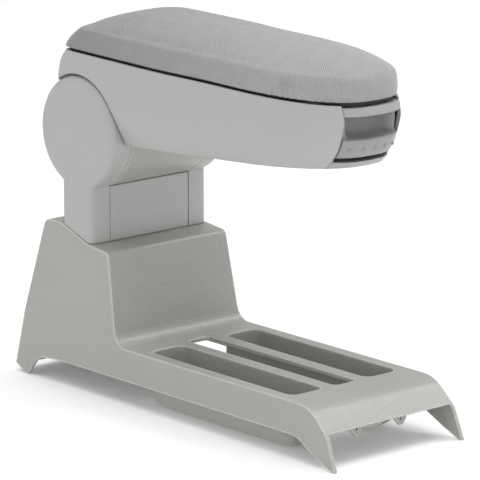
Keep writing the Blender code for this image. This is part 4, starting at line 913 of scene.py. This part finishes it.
@dataclass
class PaddedLid:
    """The crowned foam cushion in its twill cover, swollen by the cloth solver.

    A start form a little under size swells, its travel is capped, and the cover is then pulled
    most of the way back to the moulded foam. Folds along the side and puckers near the front are
    pressed in last. Each share of the rise runs from 0 at the seat to 1 at the top.
    """

    plan: ArmPlan
    finishes: Finishes
    rear: float = -141.0
    front: float = 160.0
    front_share: float = 0.85
    rear_corner: float = 18.0
    lift: float = 2.5
    rise: float = 30.0
    tilt: float = 0.014
    undersize: float = 0.9
    skirt: float = 0.14
    hug: float = 0.82
    voxel: float = 2.6
    pressure: float = 4.0
    stretch_stiffness: float = 12.0
    bending_stiffness: float = 0.4
    last_frame: int = 20
    cap: float = 2.0
    ring_count: int = 30
    spine: tuple[float, float] = (-85.0, 95.0)
    fold_rear: tuple[float, float] = (-138.0, -112.0)
    fold_front: tuple[float, float] = (60.0, 135.0)
    side_turn: tuple[float, float] = (0.35, 0.8)  # sideways part of the direction out
    side_clear: tuple[float, float] = (0.38, 0.6)  # share of the rise from the top down
    pucker_fade: float = 0.6  # share of its height where a pucker starts to fade
    dimple_depth: float = 0.6  # share of the pucker's depth
    dimple_place: float = 1.9  # in half widths of the pucker
    folds: tuple = (  # height, share of the rise, spread
        (0.32, 0.51, 0.045), (-0.3, 0.62, 0.06), (-0.55, 0.36, 0.14))
    puckers: tuple = (  # place along the arm, backward slant, half width, height, depth
        (68.0, 0.05, 1.5, 11.0, 0.5), (98.0, 0.06, 1.5, 13.0, 0.6), (108.4, 0.05, 1.4, 16.0, 1.1),
        (112.6, 0.07, 1.4, 17.0, 1.2), (117.0, 0.08, 1.4, 16.0, 1.1), (124.0, 0.25, 1.5, 14.0, 0.5),
        (134.0, 0.75, 1.5, 16.0, 0.8), (138.4, 0.80, 1.5, 15.0, 0.8), (143.0, 0.85, 1.5, 13.0, 0.6))
    profile: tuple = (  # share of the rise, inset all round, further inset at the rear
        (0.0, 0.6, -2.6), (0.08, -0.2, 0.4), (0.25, 0.0, 4.4), (0.40, 0.6, 8.8), (0.52, 2.2, 12.2),
        (0.60, 6.9, 12.4), (0.72, 14.2, 11.8), (0.84, 23.6, 11.2), (0.94, 34.6, 10.4), (1.0, 47.0, 10.0))

    def outline(self, share: float, undersize: float) -> list[tuple[float, float, float]]:
        """Draw the cushion's outline at a share of its rise.

        Args:
            share: from 0 at the seat to 1 at the top.
            undersize: how far the outline stays inside the real one.

        Returns:
            The outline's points.
        """
        inset, rear_inset = curve_through(self.profile, max(0.0, share))
        half = self.plan.half_width - inset - undersize
        front = self.front - (inset + undersize) * self.front_share
        rear = self.rear + inset + rear_inset + undersize
        ring = self.plan.ring(half, rear, front, min(self.rear_corner, half))
        height = self.lift + self.rise * share
        slope = self.tilt * share
        return [(x, y, self.plan.rim(x) + height + slope * (x - self.plan.hinge_x)) for x, y in ring]

    def closed_form(self, undersize: float) -> tuple[list, list]:
        """Give the crowned form, which reaches a little below its seat as well.

        Args:
            undersize: how far the form stays inside the real one.

        Returns:
            The points and the faces.
        """
        shares = [step / self.ring_count for step in range(self.ring_count + 1)]
        shares.insert(0, -self.skirt)
        return self.plan.skin([self.outline(share, undersize) for share in shares])

    def start_form(self) -> bpy.types.Object:
        """Make the slightly small closed form that the pressure swells.

        Returns:
            The form, evenly meshed.
        """
        points, faces = self.closed_form(self.undersize)
        pad = link_mesh("padded_cushion", points, faces, self.finishes.made[Slot.CLOTH])
        face_outwards(pad)
        remesh = pad.modifiers.new("even_grid", "REMESH")
        remesh.mode = "VOXEL"
        remesh.voxel_size = self.voxel * MM
        remesh.use_smooth_shade = True
        apply_modifiers(pad)
        return pad

    def inflate(self, pad: bpy.types.Object) -> None:
        """Swell the pad with the cloth solver, cap the travel and keep the result.

        Args:
            pad: the evenly meshed closed form.
        """
        start = points_of(pad.data)
        seat = self.plan.rim(start[:, 0]) + self.lift
        held = pad.vertex_groups.new(name="underside")
        held.add([int(index) for index in np.nonzero(start[:, 2] < seat)[0]], 1.0, "REPLACE")
        cloth = pad.modifiers.new("cloth", "CLOTH")
        cloth.settings.vertex_group_mass = held.name
        cloth.settings.use_pressure = True
        cloth.settings.uniform_pressure_force = self.pressure
        cloth.settings.effector_weights.gravity = 0.0
        cloth.settings.tension_stiffness = self.stretch_stiffness
        cloth.settings.compression_stiffness = self.stretch_stiffness
        cloth.settings.bending_stiffness = self.bending_stiffness
        cloth.collision_settings.use_collision = False
        cloth.point_cache.frame_start = 1
        cloth.point_cache.frame_end = self.last_frame
        scene = bpy.context.scene
        for moment in range(1, self.last_frame + 1):
            scene.frame_set(moment)
        swollen = pad.evaluated_get(bpy.context.evaluated_depsgraph_get())
        travel = points_of(swollen.data) - start
        length = np.linalg.norm(travel, axis=1, keepdims=True)
        log.info("cloth travel: middle %.2f mm, most %.2f mm", float(np.median(length)), float(length.max()))
        pad.modifiers.clear()
        scene.frame_set(1)
        set_points(pad.data, start + travel * np.minimum(1.0, self.cap / np.maximum(length, 1e-6)))

    def settle_on_foam(self, pad: bpy.types.Object) -> None:
        """Pull the swollen cover most of the way back to the moulded foam under it.

        Args:
            pad: the swollen cushion.
        """
        foam_points, foam_faces = self.closed_form(0.0)
        foam = BVHTree.FromPolygons([Vector(point) for point in foam_points], foam_faces)
        points = points_of(pad.data)
        nearest = np.array([foam.find_nearest(Vector(point))[0] for point in points])
        set_points(pad.data, points + self.hug * (nearest - points))

    def share_of_rise(self, points: np.ndarray) -> np.ndarray:
        """Give each point's share of the cushion's rise."""
        full = self.rise + self.tilt * (points[:, 0] - self.plan.hinge_x)
        return (points[:, 2] - self.plan.rim(points[:, 0]) - self.lift) / full

    def pucker_heights(self, points: np.ndarray, rise: np.ndarray) -> np.ndarray:
        """Give how far the puckers lift each point: a small ridge with a dimple beside it.

        Args:
            points: the cushion's points.
            rise: each point's height above the seat.

        Returns:
            One height for each point.
        """
        heights = np.zeros(len(points))
        for x, slant, width, height, depth in self.puckers:
            across = points[:, 0] - x + slant * rise
            ridge = bell(across, 0.0, width)
            dimple = self.dimple_depth * bell(across, self.dimple_place * width, width)
            heights += depth * (ridge - dimple) * (1.0 - ease(rise, self.pucker_fade * height, height))
        return heights

    def press_shoulder(self, pad: bpy.types.Object) -> None:
        """Form the soft folds between the side and the crown, and small puckers near the front.

        Args:
            pad: the settled cushion.
        """
        points, out = points_of(pad.data), normals_of(pad.data)
        share = self.share_of_rise(points)
        along_falloff = (1.0 - ease(points[:, 0], *self.fold_front)) * ease(points[:, 0], *self.fold_rear)
        folds = sum(height * bell(share, place, spread) for height, place, spread in self.folds)
        side_face = ease(np.abs(out[:, 1]), *self.side_turn) * ease(1.0 - share, *self.side_clear)
        amount = folds * along_falloff + self.pucker_heights(points, share * self.rise) * side_face
        set_points(pad.data, points + out * amount[:, None])

    def trim_underside(self, pad: bpy.types.Object) -> None:
        """Flatten everything below the cushion's seat on the lid.

        Args:
            pad: the pressed cushion.
        """
        points = points_of(pad.data)
        points[:, 2] = np.maximum(points[:, 2], self.plan.rim(points[:, 0]) + self.lift)
        set_points(pad.data, points)

    def lay_flat_coordinates(self, pad: bpy.types.Object) -> None:
        """Store how the cover lay before it was stretched over the foam, for its weave.

        Args:
            pad: the finished cushion.
        """
        points = points_of(pad.data)
        spine = np.stack([np.clip(points[:, 0], *self.spine), np.zeros(len(points))], axis=1)
        away = points[:, :2] - spine
        reach = np.maximum(np.linalg.norm(away, axis=1), 1e-6)
        drop = np.clip(1.0 - self.share_of_rise(points), 0.0, 1.0) * self.rise
        flat = spine + away * ((reach + drop) / reach)[:, None]
        layer = pad.data.uv_layers.new(name="cloth")
        corners = np.empty(len(pad.data.loops), dtype=np.int32)
        pad.data.loops.foreach_get("vertex_index", corners)
        layer.data.foreach_set("uv", (flat[corners] * MM).astype(np.float32).ravel())

    def build(self) -> None:
        """Make the cushion and give it to the lid."""
        pad = self.start_form()
        self.inflate(pad)
        finer = pad.modifiers.new("finer", "SUBSURF")
        finer.levels = 1
        apply_modifiers(pad)
        self.settle_on_foam(pad)
        self.press_shoulder(pad)
        self.trim_underside(pad)
        self.lay_flat_coordinates(pad)
        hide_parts("lid_cushion")
        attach(pad, Body.LID.value)
        log.info("padded_cushion: %d points", len(pad.data.vertices))


@dataclass
class ReleaseFlap:
    """The release flap: a dotted front panel under a scooped finger recess, with its hook.

    The panel follows the arm's rounded front face. The rims at both ends of the recess are set
    back from that face by a share of the recess's depth.
    """

    plan: ArmPlan
    finishes: Finishes
    half: float = 26.8
    bottom: float = 221.4
    ridge: float = 235.6
    top: float = 252.6
    back_x: float = 134.2
    thinnest: float = 2.4
    rim: float = 2.2
    rim_share: float = 0.3
    side_taper: float = 8.0
    columns: int = 56
    panel_steps: int = 6
    panel_edge: float = 1.0
    foot: tuple = (  # height above the bottom, depth behind the arm's face
        (0.0, 3.0), (0.0, 1.0), (0.35, 0.3), (1.0, 0.0))
    recess: tuple = (  # height above the ridge, depth behind the arm's face
        (-0.6, 0.12), (-0.2, 0.5), (0.05, 1.1), (0.2, 2.2), (0.35, 4.6), (1.1, 8.8),
        (2.8, 12.8), (5.8, 16.4), (9.5, 18.8), (12.5, 20.2), (15.5, 21.0))
    recess_depth: float = 21.2
    arm_front: float = 161.0
    nose_bulge: float = 3.7
    bulge_share: float = 0.5  # how far down the face the bulge reaches
    surface_inset: float = 0.3
    arm_rim: float = 261.0
    arm_bottom: float = 214.7
    belly: tuple[float, float, float] = (10.8, 0.455, 1.96)  # depth, share where it starts, power
    dot_count: int = 5
    dot_pitch: float = 10.5
    dot_z: float = 227.8
    dot_radius: float = 1.7
    dot_steps: int = 20
    dot_rings: tuple = (  # height above the panel, share of the radius
        (-0.5, 1.0), (0.2, 1.0), (0.6, 0.88), (0.88, 0.6), (1.0, 0.25))
    probe: float = 0.5  # half the span over which a dot's slope is taken
    hook_half: float = 6.0
    hook_top: float = 261.3
    hook_thick: float = 3.0
    hook_root: float = 3.0
    hook_overlap: float = 0.2
    hook_head: tuple = (  # place ahead of the hook's back, height from its top
        (3.0, -0.5), (2.5, 0.0), (-1.2, -1.0), (-1.5, -3.0), (0.0, -3.2))
    sharp_angle: float = 40.0

    def front_x(self, y: float, z: float) -> float:
        """Give where the arm's rounded front face lies.

        Args:
            y: the place across the arm.
            z: the height.

        Returns:
            The place along the arm.
        """
        level = (self.arm_rim - z) / (self.arm_rim - self.arm_bottom)
        depth, start, power = self.belly
        inset = depth * max(0.0, (level - start) / (1 - start)) ** power
        bulge = self.nose_bulge * math.sin(math.pi * min(level / self.bulge_share, 1.0))
        along_power, across_power = self.plan.nose_powers
        half = self.plan.half_width - self.plan.taper - inset
        share = max(0.0, 1.0 - (abs(y) / half) ** across_power)
        reach = self.arm_front + bulge - inset - self.plan.nose_start
        return self.plan.nose_start + reach * share ** (1 / along_power) - self.surface_inset

    def front_profile(self) -> list[tuple[float, float]]:
        """Draw the front face from bottom to top.

        Returns:
            Heights, with depths behind the arm's face.
        """
        start = self.bottom + self.panel_edge
        tall = self.ridge - self.bottom - 2 * self.panel_edge
        low = [(self.bottom + height, depth) for height, depth in self.foot]
        panel = [(start + tall * step / self.panel_steps, 0.0) for step in range(1, self.panel_steps + 1)]
        scoop = [(self.ridge + height, depth) for height, depth in self.recess]
        return low + panel + scoop + [(self.top, self.recess_depth)]

    def side_share(self, y: float) -> float:
        """Give how much of the recess's depth a column has: the rims beside it are set back too."""
        inner = min(1.0, max(0.0, (self.half - self.rim - abs(y)) / self.side_taper))
        return self.rim_share + (1.0 - self.rim_share) * inner

    def add_panel(self, points: list, faces: list) -> None:
        """Add the panel's front skin, its back and its edges.

        Args:
            points: the flap's points so far.
            faces: the flap's faces so far.
        """
        profile = self.front_profile()
        rows = len(profile) + 2
        for column in range(self.columns + 1):
            y = self.half * (2 * column / self.columns - 1)
            share = self.side_share(y)
            for z, depth in profile:
                set_back = depth if z < self.ridge else depth * share
                points.append((max(self.back_x + self.thinnest, self.front_x(y, z) - set_back), y, z))
            points.append((self.back_x, y, self.top))
            points.append((self.back_x, y, self.bottom))
        for column in range(self.columns):
            join_rings(faces, column * rows, (column + 1) * rows, rows)
        faces.append(tuple(range(rows)))
        faces.append(tuple(range(self.columns * rows, (self.columns + 1) * rows)))

    def add_dot(self, points: list, faces: list, y: float) -> None:
        """Add one raised dot.

        Args:
            points: the flap's points so far.
            faces: the flap's faces so far.
            y: the dot's place across the arm.
        """
        first, steps = len(points), self.dot_steps
        middle = self.front_x(y, self.dot_z)
        run = self.front_x(y + self.probe, self.dot_z) - self.front_x(y - self.probe, self.dot_z)
        slope = run / (2 * self.probe)
        for height, share in self.dot_rings:
            for step in range(steps):
                turn = 2 * math.pi * step / steps
                across = self.dot_radius * share * math.cos(turn)
                z = self.dot_z + self.dot_radius * share * math.sin(turn)
                points.append((middle + slope * across + height, y + across - slope * height, z))
        last = first + (len(self.dot_rings) - 1) * steps
        for low in range(first, last, steps):
            join_rings(faces, low, low + steps, steps)
        faces.append(tuple(range(first, first + steps)))
        faces.append(tuple(range(last, last + steps)))

    def add_hook(self, points: list, faces: list) -> None:
        """Add the hook that holds the lid's lip.

        Args:
            points: the flap's points so far.
            faces: the flap's faces so far.
        """
        x = self.back_x - self.hook_overlap
        root = self.top - self.hook_root
        outline = [(x, root), (x + self.hook_thick, root)]
        outline += [(x + ahead, self.hook_top + height) for ahead, height in self.hook_head]
        first, count = len(points), len(outline)
        for y in (-self.hook_half, self.hook_half):
            points.extend((px, y, pz) for px, pz in outline)
        join_rings(faces, first, first + count, count)
        faces.append(tuple(range(first, first + count)))
        faces.append(tuple(range(first + count, first + 2 * count)))

    def build(self) -> None:
        """Make the flap and give it to the latch."""
        points, faces = [], []
        self.add_panel(points, faces)
        for index in range(self.dot_count):
            self.add_dot(points, faces, (index - (self.dot_count - 1) / 2) * self.dot_pitch)
        self.add_hook(points, faces)
        flap = link_mesh("release_flap", points, faces, self.finishes.made[OwnFinish.FLAP])
        face_outwards(flap)
        flap.data.set_sharp_from_angle(angle=math.radians(self.sharp_angle))
        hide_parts("latch_flap")
        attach(flap, Body.LATCH.value)
        log.info("release_flap: %d points", len(points))


def main() -> None:
    """Build the studio, the finishes and every piece."""
    logging.basicConfig(level=logging.INFO, format="%(name)s %(message)s")
    Studio().build()
    finishes = Finishes()
    finishes.build()
    KeptPieces(finishes).build()
    plan = ArmPlan()
    PaddedLid(plan, finishes).build()
    ReleaseFlap(plan, finishes).build()


if __name__ == "__main__":
    main()
